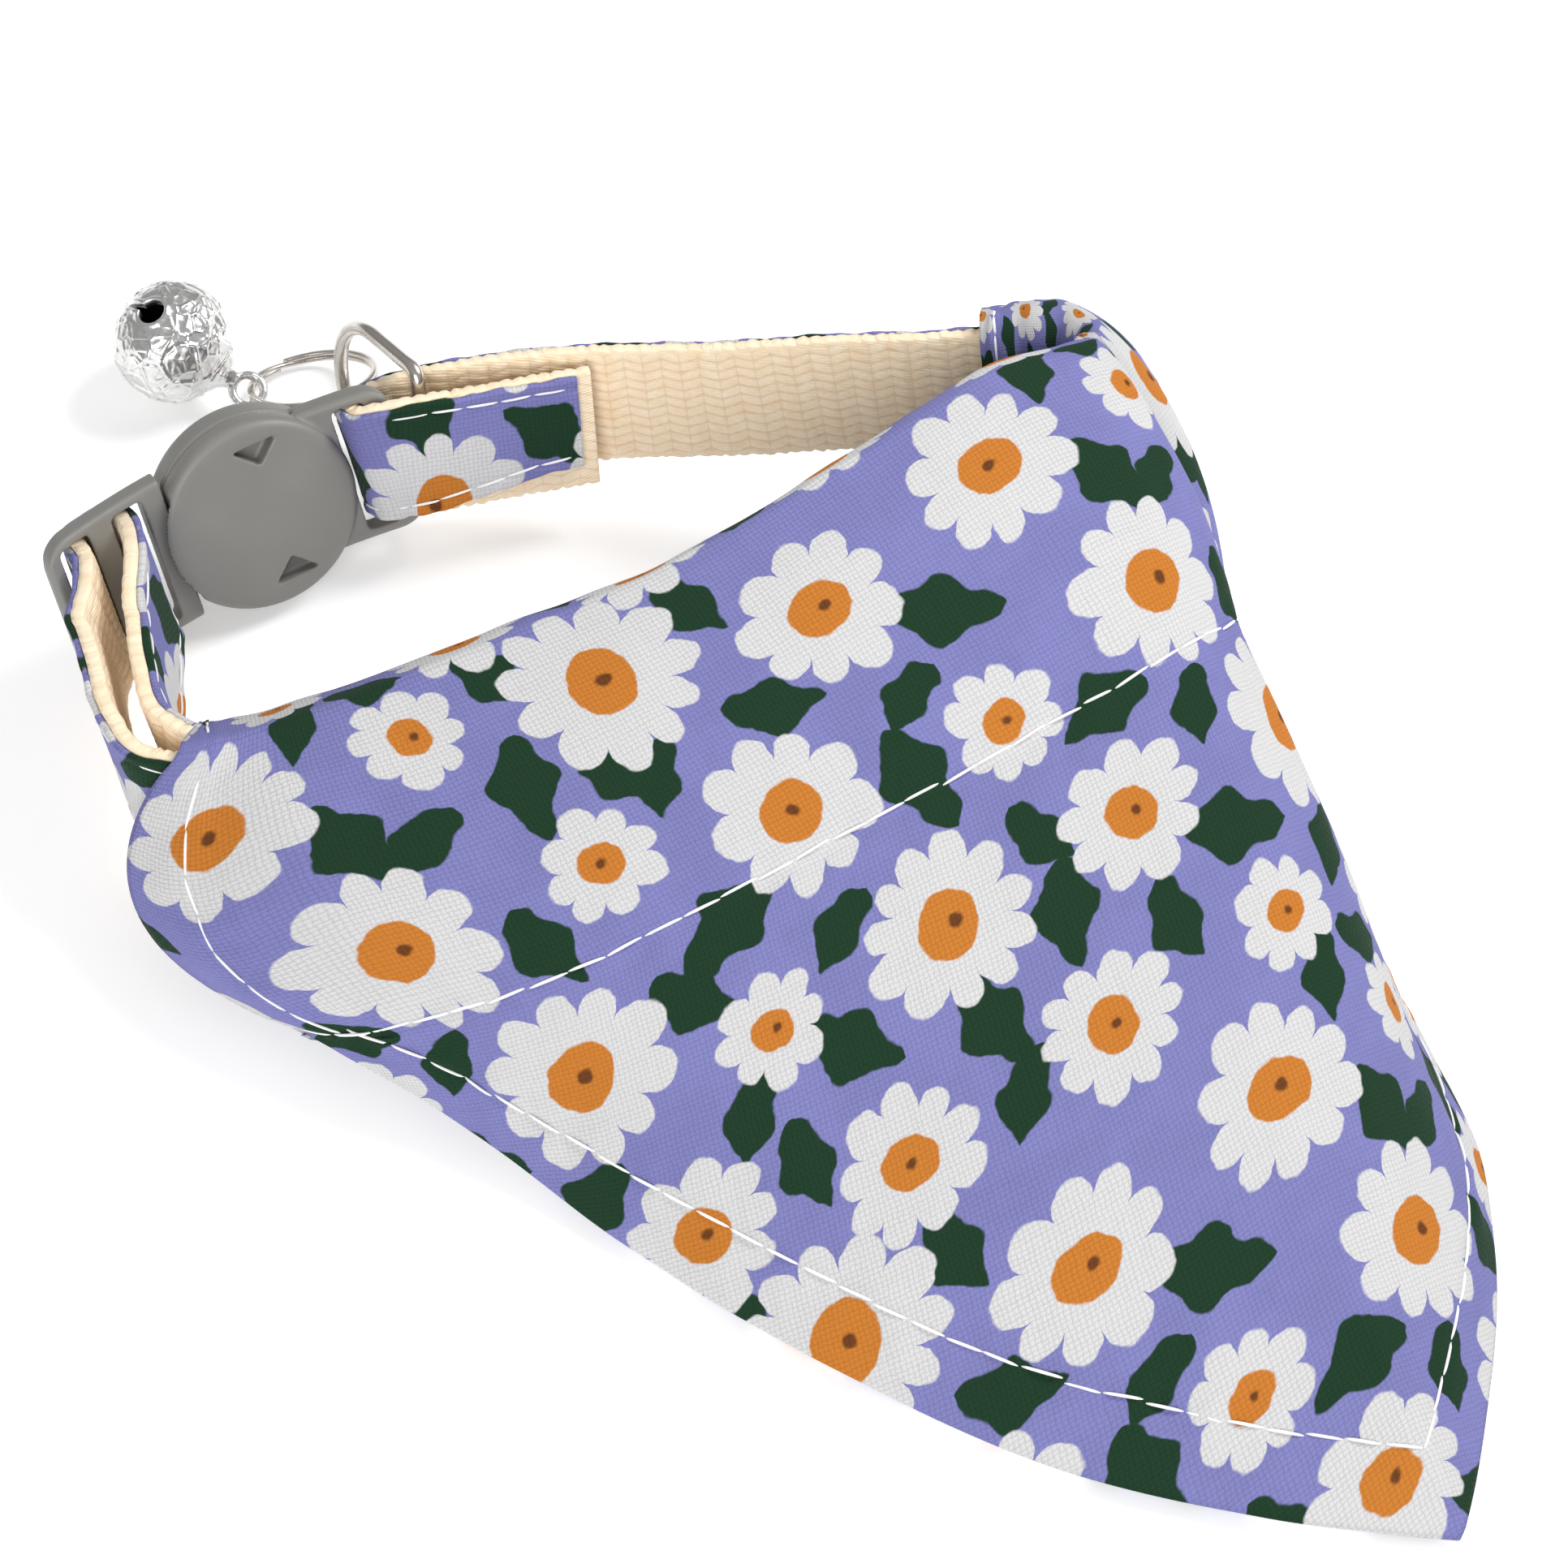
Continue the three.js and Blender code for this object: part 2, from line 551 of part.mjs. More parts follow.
function clothSection(u) {
  const { x: s, y: room } = strapAt(u);
  const { centre, across, outer } = strapFrame(s);
  const local = (out, up) =>
    centre.clone().addScaledVector(outer, out).addScaledVector(across, up);
  const fold = local(FOLD_OUT, STRAP_WIDTH / 2 + FOLD_RISE);
  const seam = seamAt(u);
  const hem = hemAt(u);
  const pleat = u > PLEATS.from
    ? PLEATS.depth * Math.sin((2 * Math.PI * (u - PLEATS.from)) / PLEATS.pitch)
    : 0;
  const front = [];
  for (let i = 0; i <= SLEEVE_ROWS; i += 1) {
    const t = i / SLEEVE_ROWS;
    front.push(bow(fold, seam, swellAt(u), t).addScaledVector(outer, pleat * (0.2 + t * (1 - t))));
  }
  for (let i = 1; i <= PANEL_ROWS; i += 1) {
    const t = i / PANEL_ROWS;
    const keep = (1 - t) ** 2;
    front.push(bow(seam, hem, bellyAt(u), t).addScaledVector(outer, pleat * 0.2 * keep));
  }
  const inner = new THREE.CatmullRomCurve3([
    fold,
    local(-0.5 - room, STRAP_WIDTH / 2 + FOLD_RISE),
    local(-WALL_OUT - room, 4),
    local(-WALL_OUT - room, -4.2),
    local(-0.6 - room / 2, -STRAP_WIDTH / 2 - WALL_FOOT),
    seam,
  ], false, "centripetal");
  return { front, back: inner.getPoints(10) };
}

function bandana() {
  const columns = Math.round(TOP_WIDTH / COLUMN_STEP);
  const cuts = [];
  for (let i = 0; i <= columns; i += 1) cuts.push(clothSection((TOP_WIDTH * i) / columns));
  const gridOf = (side) => cuts[0][side].map((_, i) => cuts.map((cut) => cut[side][i]));
  const front = solidFrom(sheet(gridOf("front"), CLOTH_THICKNESS));
  const back = solidFrom(sheet(gridOf("back"), CLOTH_THICKNESS));
  // The cloth keeps clear of the strap, both where it lies over the front run and
  // where the strap's folded end comes into the sleeve.
  let cloth = front.add(back);
  for (const [start, end] of [SLEEVE_SPAN, [strapLength - TUCKED_END, strapLength]]) {
    for (const grow of [GAP, GAP / 2]) {
      cloth = cloth.subtract(layer(start, end, -strapThickness / 2 - grow,
        strapThickness / 2 + grow, STRAP_WIDTH + 2 * grow));
    }
  }
  return largest(cloth.simplify(CLOTH_SIMPLIFY));
}
addPiece("bandana", geometryFrom(bandana()), FINISHES.print);

// The origin is under the middle of the collar, on the plane it lies on.
const bounds = new THREE.Box3().setFromObject(group);
const middle = bounds.getCenter(new THREE.Vector3());
for (const piece of group.children) {
  piece.geometry.translate(-middle.x, -middle.y, -bounds.min.z);
}

export default group;
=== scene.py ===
"""The looks of the pet bandana collar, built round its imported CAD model. Blender 4.5, metres, +Z up."""
import math
from contextlib import contextmanager

import bmesh
import bpy
import numpy as np
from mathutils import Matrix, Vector


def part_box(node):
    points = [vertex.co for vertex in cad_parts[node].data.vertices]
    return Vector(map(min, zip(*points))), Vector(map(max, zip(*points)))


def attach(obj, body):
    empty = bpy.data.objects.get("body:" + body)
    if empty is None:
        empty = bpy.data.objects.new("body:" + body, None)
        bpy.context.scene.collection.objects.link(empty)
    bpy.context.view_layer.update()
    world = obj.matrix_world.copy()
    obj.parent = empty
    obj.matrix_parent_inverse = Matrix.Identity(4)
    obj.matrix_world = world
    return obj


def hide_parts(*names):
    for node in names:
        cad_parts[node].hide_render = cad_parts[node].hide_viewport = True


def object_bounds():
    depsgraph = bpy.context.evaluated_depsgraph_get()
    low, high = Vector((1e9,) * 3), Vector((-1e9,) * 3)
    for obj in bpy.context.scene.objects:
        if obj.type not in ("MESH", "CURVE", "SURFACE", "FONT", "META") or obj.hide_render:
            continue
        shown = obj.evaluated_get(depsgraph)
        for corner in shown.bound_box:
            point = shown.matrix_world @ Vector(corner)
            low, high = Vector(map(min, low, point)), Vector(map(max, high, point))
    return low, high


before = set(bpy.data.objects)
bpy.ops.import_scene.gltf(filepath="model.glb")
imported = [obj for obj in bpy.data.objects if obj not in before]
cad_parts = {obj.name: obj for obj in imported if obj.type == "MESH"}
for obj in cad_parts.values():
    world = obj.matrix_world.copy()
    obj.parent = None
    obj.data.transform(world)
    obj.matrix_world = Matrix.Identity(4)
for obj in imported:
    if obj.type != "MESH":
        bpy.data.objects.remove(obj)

CAD_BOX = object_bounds()
MM = 0.001
rng = np.random.default_rng(7)

# ---------- placement
# The collar is laid out in millimetres round a point near the middle of its loop, as its source
# is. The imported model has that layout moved, and the split ring's middle says by how much.

RING_CENTRE = np.array([-37.4, 33.0, 3.2])
ring_low, ring_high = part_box("split_ring")
LAYOUT_ORIGIN = (np.array(ring_low) + np.array(ring_high)) / 2 / MM - RING_CENTRE


def unit(v):
    v = np.asarray(v, float)
    return v / np.linalg.norm(v, axis=-1, keepdims=True)


def square_to(v, axis):
    """The part of v at right angles to the unit vector axis, made a unit vector."""
    v = np.asarray(v, float)
    return unit(v - (v * axis).sum(-1, keepdims=True) * axis)


FACE = unit([0.42, -0.81, 0.4])      # out of the buckle's disc, towards the neck
RISE = square_to([-0.24, 0.325, 0.91], FACE)   # across the strap, upwards
RUN = np.cross(RISE, FACE)           # along the strap
DISC_CENTRE = np.array([-40.9, 16.5, 8.0])
BUCKLE = np.stack([RUN, RISE, FACE])


def in_buckle(points):
    return np.atleast_2d(points) @ BUCKLE + DISC_CENTRE


# ---------- curves

def hermite(x0, x1, t0, t1, t):
    return (x0 + t0 * t + (-3 * x0 + 3 * x1 - 2 * t0 - t1) * t ** 2
            + (2 * x0 - 2 * x1 + t0 + t1) * t ** 3)


def through(points, t):
    """Centripetal curves, one for each row of points, read at one t for each row."""
    p = np.concatenate([2 * points[:, :1] - points[:, 1:2], points,
                        2 * points[:, -1:] - points[:, -2:-1]], axis=1)
    spans = points.shape[1] - 1
    i = np.minimum((t * spans).astype(int), spans - 1)
    k = np.arange(len(p))
    a, b, c, d = (p[k, i + n] for n in range(4))
    d0, d1, d2 = (np.sqrt(np.linalg.norm(y - x, axis=1, keepdims=True) + 1e-9)
                  for x, y in ((a, b), (b, c), (c, d)))
    t0 = ((b - a) / d0 - (c - a) / (d0 + d1) + (c - b) / d1) * d1
    t1 = ((c - b) / d1 - (d - b) / (d1 + d2) + (d - c) / d2) * d1
    return hermite(b, c, t0, t1, (t * spans - i)[:, None])


def smooth_line(points, steps):
    """A centripetal curve through the points, with steps samples in each span."""
    samples = (len(points) - 1) * steps + 1
    rows = np.broadcast_to(points, (samples, *np.shape(points)))
    return through(rows, np.arange(samples) / (samples - 1))


def line_reach(line):
    """How far along a line each of its points is."""
    return np.concatenate([[0], np.cumsum(np.linalg.norm(np.diff(line, axis=0), axis=1))])


def along_line(line, reach, d):
    return np.stack([np.interp(d, reach, column) for column in line.T], axis=-1)


def smooth_share(x):
    """0 to 1 with a soft start and end, as x goes from 0 to 1."""
    x = np.clip(x, 0, 1)
    return x * x * (3 - 2 * x)


def column_curve(keys, values, at):
    """A smooth curve through values, one for each key, read at the numbers in at."""
    v = np.asarray(values, float)
    v = np.vstack([2 * v[0] - v[1], v, 2 * v[-1] - v[-2]])
    keys = np.asarray(keys, float)
    i = np.clip(np.searchsorted(keys, at, side="right") - 1, 0, len(keys) - 2)
    t = ((at - keys[i]) / (keys[i + 1] - keys[i]))[:, None]
    return hermite(v[i + 1], v[i + 2], (v[i + 2] - v[i]) / 2, (v[i + 3] - v[i + 1]) / 2, t)


# ---------- strap
# The middle of the strap's thickness, from the end of the tab round the neck to the tucked end.

STRAP_ROUTE = np.vstack([
    [(-14.6, 22.7, 10.0), (-19.7, 21.4, 10.2), (-24.7, 20.0, 10.43)],
    in_buckle([(11, 0.45, 4.0), (9.4, 0.4, 3.0), (9, 0.2, 0.6),
               (9.4, 0, -0.6), (10.7, 0, -1.15), (13.6, 0, -1.05)]),
    [(-22.5, 25, 9.3), (-14.3, 25.6, 9.8), (-4.1, 24.7, 11.3), (4.8, 23.8, 13.2), (12, 23, 14.5),
     (18, 22.8, 15.5), (21.9, 22.6, 16.2), (23.9, 21.4, 16.7), (24.6, 19.4, 17.2),
     (23.9, 17.5, 17.7), (22, 16.3, 18.1), (17, 14.3, 18.4), (12, 10.6, 18.3), (2.6, 4.1, 17.2),
     (-7.4, -1.8, 15.4), (-18.4, -6.1, 13.1), (-29, -10, 11.3), (-37.9, -12.8, 10.1),
     (-43, -13.9, 9.7), (-46.9, -12.4, 9.5), (-49.2, -8.6, 9.3), (-50.6, -4, 9.2),
     (-51.7, 0.6, 9.1)],
    in_buckle([(-15.6, -0.5, 6.6), (-14.7, -0.15, 4.2), (-14.6, 0, 1.8), (-14.4, 0, 0.3),
               (-13.3, 0, -0.55), (-12, 0, -0.95), (-10.8, 0, -0.9), (-9.85, 0, 0.2),
               (-9.8, 0, 2.6), (-10.5, 0, 5.8)]),
    [(-47.2, 2, 9.1), (-46.4, -3.6, 9.2), (-44.9, -8.3, 9.3), (-41.2, -11.2, 9.6),
     (-36.5, -10.4, 10.2), (-32, -9, 10.8)],
])
CAD_TAB_LONGER = 1.35    # the CAD strap's tab bulges over the D-ring, and this one is straight
STRAP_WIDTH = 10.0
WEBBING_INNER = -1.0     # off the middle of the strap's thickness, towards the neck
WEBBING_OUTER = 0.1
FACING_OUTER = 0.62
FACING_WIDTH = 9.7
RAW_END = 1.2            # bare webbing past each end of the facing

strap_line = smooth_line(STRAP_ROUTE, 24)
strap_reach = line_reach(strap_line)
STRAP_LENGTH = float(strap_reach[-1])


def strap_frames(s):
    """Centre, direction, upward edge direction and outer side of the strap at distances s."""
    s = np.atleast_1d(np.asarray(s, float))
    before, centre, after = (along_line(strap_line, strap_reach, np.clip(s + d, 0, STRAP_LENGTH))
                             for d in (-0.25, 0, 0.25))
    along = unit(after - before)
    across = square_to(RISE, along)
    return centre, along, across, unit(np.cross(across, along))


# ---------- mesh making

UV_PER_MM = 0.01         # the UV layer "cut" holds the flat cut at this scale
SEAM_MERGE = 0.001       # points this close, in millimetres, are one point


def to_frame(points):
    return (np.asarray(points, float) + LAYOUT_ORIGIN) * MM


def make_object(name, points, faces, uv=None):
    """A mesh object from layout points in millimetres; uv holds one pair for each point."""
    mesh = bpy.data.meshes.new(name)
    mesh.from_pydata(to_frame(points).tolist(), [], [tuple(map(int, f)) for f in faces])
    if uv is not None:
        layer = mesh.uv_layers.new(name="cut")
        corner = np.empty(len(mesh.loops), dtype=np.int32)
        mesh.loops.foreach_get("vertex_index", corner)
        layer.data.foreach_set("uv", (np.asarray(uv, float)[corner] * UV_PER_MM).ravel())
    mesh.validate()
    mesh.update()
    mesh.shade_smooth()
    obj = bpy.data.objects.new(name, mesh)
    bpy.context.collection.objects.link(obj)
    return obj


def grid_faces(rows, columns, closed_rows=False, closed_columns=False):
    i = np.arange(rows if closed_rows else rows - 1)[:, None]
    j = np.arange(columns if closed_columns else columns - 1)[None, :]
    row, next_row, next_j = i * columns, (i + 1) % rows * columns, (j + 1) % columns
    return np.stack([row + j, row + next_j, next_row + next_j, next_row + j], -1).reshape(-1, 4)


def tube_faces(rows, columns):
    """Faces of a tube of rings with a cap at each end."""
    last = (rows - 1) * columns
    return [*grid_faces(rows, columns, False, True), range(columns)[::-1],
            range(last, last + columns)]


def bake(obj):
    """Applies an object's modifiers."""
    graph = bpy.context.evaluated_depsgraph_get()
    mesh = bpy.data.meshes.new_from_object(obj.evaluated_get(graph))
    obj.modifiers.clear()
    obj.data = mesh
    return obj


@contextmanager
def mesh_edit(obj):
    """Opens an object's mesh for bmesh work, and writes the work back."""
    work = bmesh.new()
    work.from_mesh(obj.data)
    yield work
    work.to_mesh(obj.data)
    work.free()
    obj.data.update()


def weld(obj, distance, outwards=True):
    """Merges points closer than distance, in millimetres, and turns the faces outwards."""
    with mesh_edit(obj) as work:
        bmesh.ops.remove_doubles(work, verts=work.verts, dist=distance * MM)
        bmesh.ops.dissolve_degenerate(work, edges=work.edges, dist=distance * MM / 4)
        if outwards:
            bmesh.ops.recalc_face_normals(work, faces=work.faces)
    return obj


def tube(name, rings, faces=None):
    """A solid over rings of layout points, capped at its ends unless it is given its faces."""
    rings = np.asarray(rings, float)
    if faces is None:
        faces = tube_faces(*rings.shape[:2])
    return weld(make_object(name, rings.reshape(-1, 3), faces), SEAM_MERGE)


def sweep(name, centres, sides_a, sides_b, outline, closed=False):
    """Rings of the outline, in the two side directions, swept along the centres."""
    rings = (centres[:, None] + sides_a[:, None] * outline[:, :1]
             + sides_b[:, None] * outline[:, 1:2])
    return tube(name, rings, grid_faces(*rings.shape[:2], True, True) if closed else None)


def circle(radius, sides):
    angle = np.linspace(0, 2 * math.pi, sides, endpoint=False)
    return np.stack([radius * np.cos(angle), radius * np.sin(angle)], axis=-1)


def stitches(name, starts, ends, normals, radius, arch, sides=6):
    """One joined mesh of short sewn stitches, each a small arch that dips in at both ends."""
    t = np.linspace(0, 1, 7)
    bow = np.sin(math.pi * t)
    lift = arch * bow ** 0.6 - radius * 0.6 * (1 - bow) ** 5
    girth = radius * (0.55 + 0.45 * bow ** 0.5)
    ring = circle(1.0, sides)
    along = unit(ends - starts)
    up = square_to(normals, along)
    side = np.cross(along, up)
    middle = starts[:, None] + (ends - starts)[:, None] * t[:, None] + up[:, None] * lift[:, None]
    rings = middle[:, :, None] + girth[:, None, None] * (
        side[:, None, None] * ring[:, :1] + up[:, None, None] * ring[:, 1:])
    one = [np.array(face) for face in tube_faces(len(t), sides)]
    faces = [face + k * len(t) * sides for k in range(len(starts)) for face in one]
    return weld(make_object(name, rings.reshape(-1, 3), faces), SEAM_MERGE / 2)


# ---------- materials

class Value:
    """A socket of a node tree. Plain arithmetic on it adds Math nodes to the tree."""

    def __init__(self, g, socket):
        self.g, self.socket = g, socket

    def __add__(self, other):
        return self.g.math("ADD", self, other)

    def __sub__(self, other):
        return self.g.math("SUBTRACT", self, other)

    def __rsub__(self, other):
        return self.g.math("SUBTRACT", other, self)

    def __mul__(self, other):
        return self.g.math("MULTIPLY", self, other)

    def __truediv__(self, other):
        return self.g.math("DIVIDE", self, other)

    def __pow__(self, other):
        return self.g.math("POWER", self, other)

    def __abs__(self):
        return self.g.math("ABSOLUTE", self)


class Graph:
    """Short ways to add nodes to a node tree. An input is a number, a colour or a Value."""

    def __init__(self, tree):
        self.tree = tree

    def add(self, kind, inputs=(), **settings):
        node = self.tree.nodes.new(kind)
        for key, value in settings.items():
            setattr(node, key, value)
        for key, value in dict(inputs).items():
            self.set(node.inputs[key], value)
        return node

    def set(self, socket, value):
        if isinstance(value, Value):
            self.tree.links.new(value.socket, socket)
        elif isinstance(value, tuple) and socket.type == "RGBA":
            socket.default_value = (*value, 1.0)
        else:
            socket.default_value = value

    def one(self, kind, inputs=(), output=0, **settings):
        """The output of a new node, by its place."""
        return Value(self, self.add(kind, inputs, **settings).outputs[output])

    def named(self, node):
        return {socket.name: Value(self, socket) for socket in node.outputs}

    def group(self, tree, inputs):
        return self.named(self.add("ShaderNodeGroup", inputs, node_tree=tree))

    def math(self, operation, *values):
        return self.one("ShaderNodeMath", enumerate(values), operation=operation)

    def vector(self, operation, *values):
        output = 1 if operation in ("LENGTH", "DISTANCE") else 0
        return self.one("ShaderNodeVectorMath", enumerate(values), output, operation=operation)

    def step(self, value, low, high, start=0.0, end=1.0):
        """A smooth step of value from low to high."""
        return self.one("ShaderNodeMapRange", enumerate((value, low, high, start, end)),
                        interpolation_type="SMOOTHSTEP")

    def mix(self, factor, a, b, kind="RGBA"):
        """Colours a and b mixed, or vectors if kind is VECTOR."""
        first, output = (4, 1) if kind == "VECTOR" else (6, 2)
        return self.one("ShaderNodeMix", {0: factor, first: a, first + 1: b}, output, data_type=kind)

    def split(self, vector):
        return self.named(self.add("ShaderNodeSeparateXYZ", {0: vector})).values()

    def join(self, x, y, z=0.0):
        return self.one("ShaderNodeCombineXYZ", {0: x, 1: y, 2: z})

    def noise(self, vector, scale, detail=2.0, rough=0.5, colour=False):
        inputs = {"Vector": vector, "Scale": scale, "Detail": detail, "Roughness": rough}
        return self.one("ShaderNodeTexNoise", inputs, 1 if colour else 0)

    def bump(self, height, strength, distance, normal=None):
        inputs = {"Height": height, "Strength": strength, "Distance": distance}
        if normal is not None:
            inputs["Normal"] = normal
        return self.one("ShaderNodeBump", inputs)

    def cut_point(self, shift=(0.0, 0.0)):
        """The point of the flat cut, in millimetres."""
        cut = self.one("ShaderNodeUVMap", uv_map="cut")
        return self.one("ShaderNodeMapping", {"Vector": cut, "Location": (*shift, 0.0),
                                              "Scale": (1 / UV_PER_MM,) * 3})

    def coordinate(self, kind="Object"):
        return self.named(self.add("ShaderNodeTexCoord"))[kind]


def new_group(name, inputs, outputs):
    """A node group; inputs and outputs give the kind of each named socket."""
    tree = bpy.data.node_groups.new(name, "ShaderNodeTree")
    for side, sockets in (("INPUT", inputs), ("OUTPUT", outputs)):
        for label, kind in sockets.items():
            tree.interface.new_socket(label, in_out=side, socket_type="NodeSocket" + kind)
    g = Graph(tree)
    return g, g.named(g.add("NodeGroupInput")), g.add("NodeGroupOutput").inputs


# The print: a small scattered flower repeat, charted in millimetres of flat cloth.
REPEAT = (60.0, 52.0)
DAISIES = [  # x, y, radius, petals, turn
    (6, 6.5, 6.3, 10, 0.2), (20, 4.5, 4.1, 8, 0.6), (34.5, 6.5, 7.3, 11, 0.5),
    (50.5, 9.5, 6.1, 9, 0.9), (12.5, 20, 6.5, 10, 1.0), (27.5, 19, 4.4, 8, 0.1),
    (41, 22, 6.3, 9, 0.3), (57.5, 23.5, 4.3, 8, 0.35), (3.5, 34.5, 5.6, 9, 0.7),
    (20.5, 33.5, 7.2, 10, 0.4), (34.5, 36, 4.2, 8, 0.8), (48.5, 35, 6.4, 11, 1.2),
    (11.5, 47, 4.3, 8, 0.25), (26.5, 48, 5.6, 9, 0.75), (41.5, 49, 5.4, 9, 0.15),
    (57, 47.5, 5.2, 10, 0.55),
]
LEAVES = [  # x, y, length, width, turn in degrees
    (13.5, 11.5, 8.5, 5.0, 60), (17.5, 12.5, 6.5, 3.8, 140), (25.5, 11.5, 8.5, 4.8, 100),
    (44, 14.5, 7.5, 4.2, 20), (42.8, 4, 7.0, 4.0, 70), (58, 14.5, 8.5, 4.8, 30),
    (21, 23, 7.5, 4.2, 70), (33, 27.5, 9.0, 5.2, 150), (31.5, 13.5, 6.5, 3.8, 60),
    (34, 15, 6.5, 3.6, 120), (50, 24.5, 9.0, 4.8, 80), (52.5, 18.5, 6.0, 3.6, 150),
    (4.5, 26, 8.0, 4.6, 170), (11, 29.5, 6.5, 3.8, 110), (29.5, 31.5, 7.5, 4.2, 40),
    (41, 31.5, 6.5, 3.8, 140), (39.8, 39.8, 8.0, 4.6, 40), (56.5, 38.5, 8.0, 4.6, 100),
    (56.5, 32.5, 6.5, 3.6, 60), (10.5, 39.5, 9.0, 5.0, 20), (19, 43.5, 7.5, 4.4, 130),
    (31.5, 41.2, 6.5, 3.8, 120), (49.5, 43, 8.0, 4.4, 70), (50, 48.5, 6.5, 3.8, 120),
    (34.5, 46, 7.0, 4.0, 80), (3.5, 43.5, 7.0, 4.0, 80), (18.5, 51, 6.5, 3.8, 20),
    (12.5, 0.5, 7.0, 3.8, 110), (27.5, 2.5, 7.0, 4.0, 60),
]
LAVENDER = (0.178, 0.178, 0.405)
INKS = {                 # printed over the ground in this order
    "Leaf": (0.011, 0.038, 0.018),
    "Petal": (0.58, 0.575, 0.58),
    "Heart": (0.500, 0.173, 0.027),
    "Seed": (0.13, 0.042, 0.012),
}
LEAF_EDGE = 0.2          # a motif's circle goes this far past its longest reach
DAISY_REACH, DAISY_EDGE = 1.05, 0.13
NOTHING_YET = {"Off": (0, 0, 0), "Shape": (1, 1, 1), "Gap": 99.0}


def daisy_group():
    """A daisy, read at Off from its middle. Shape is its radius, its petals and its turn."""
    g, inside, out = new_group("daisy", {"Off": "Vector", "Shape": "Vector"},
                               {"Petal": "Float", "Heart": "Float", "Seed": "Float"})
    x, y, _ = g.split(inside["Off"])
    radius, petals, turn = g.split(inside["Shape"])
    reach = g.vector("LENGTH", inside["Off"])
    angle = g.math("ARCTAN2", y, x)
    uneven = g.math("SINE", angle * 2.0 + turn * 9.0)
    turned = angle + turn + uneven * 0.09
    lobe = abs(g.math("COSINE", turned * (petals * 0.5))) ** 0.5
    long_short = g.math("SINE", angle * 3.0 + turn * 5.0)
    petal = reach - radius * (long_short * 0.05 + (lobe * 0.34 + 0.66))
    heart = reach - radius * (uneven * 0.025 + 0.365)
    seed = g.vector("LENGTH", g.join(x - turn * 0.5, y)) - radius * 0.075
    for name, edge, soft in (("Petal", petal, 0.12), ("Heart", heart, 0.1), ("Seed", seed, 0.16)):
        g.set(out[name], g.step(edge, -soft, soft, 1.0, 0.0))
    return g.tree


def leaf_group():
    """A leaf, read at Off from its middle. Shape is its length, its width and its turn."""
    g, inside, out = new_group("leaf", {"Off": "Vector", "Shape": "Vector"}, {"Leaf": "Float"})
    x, y, _ = g.split(inside["Off"])
    length, width, turn = g.split(inside["Shape"])
    cos, sin = g.math("COSINE", turn), g.math("SINE", turn)
    along = x * cos + y * sin
    aside = y * cos - x * sin
    place = along / (length * 0.5)
    square = place * place
    body = g.math("MAXIMUM", 1.0 - square, 0.0) ** 0.8 * (place * -0.28 + 1.0)
    notched = body * (g.math("SINE", along * 1.5 + length) * 0.2 + 0.95)
    past_end = g.math("MAXIMUM", square - 1.0, 0.0)
    edge = abs(aside + square * 0.5) - notched * (width * 0.5) + past_end * 4.0
    g.set(out["Leaf"], g.step(edge, -0.1, 0.12, 1.0, 0.0))
    return g.tree


def nearer_group():
    """Of the motif found so far and one more, keeps the one whose circle holds the point better."""
    g, inside, out = new_group(
        "nearer motif",
        {"Point": "Vector", "Middle": "Vector", "Own Shape": "Vector", "Reach": "Float",
         "Off": "Vector", "Shape": "Vector", "Gap": "Float"},
        {"Off": "Vector", "Shape": "Vector", "Gap": "Float"})
    half = (REPEAT[0] / 2, REPEAT[1] / 2, 0.0)
    off = g.vector("SUBTRACT", inside["Point"], inside["Middle"])
    off = g.vector("WRAP", off, half, tuple(-size for size in half))
    gap = g.vector("LENGTH", off) - inside["Reach"]
    nearer = g.math("LESS_THAN", gap, inside["Gap"])
    g.set(out["Off"], g.mix(nearer, inside["Off"], off, "VECTOR"))
    g.set(out["Shape"], g.mix(nearer, inside["Shape"], inside["Own Shape"], "VECTOR"))
    g.set(out["Gap"], g.math("MINIMUM", gap, inside["Gap"]))
    return g.tree


def clear_of(a, b):
    """Whether the circles of two motifs stay apart, the short way round the repeat."""
    off = [min((p - q) % size, (q - p) % size) for p, q, size in zip(a, b, REPEAT)]
    return math.hypot(*off) > a[2] + b[2]


def motif_sets(motifs):
    """Sorts motifs into sets in which no two touch, so a point is in one of each set at most."""
    sets = []
    for motif in motifs:
        for kept in sets:
            if all(clear_of(motif, other) for other in kept):
                kept.append(motif)
                break
        else:
            sets.append([motif])
    return sets


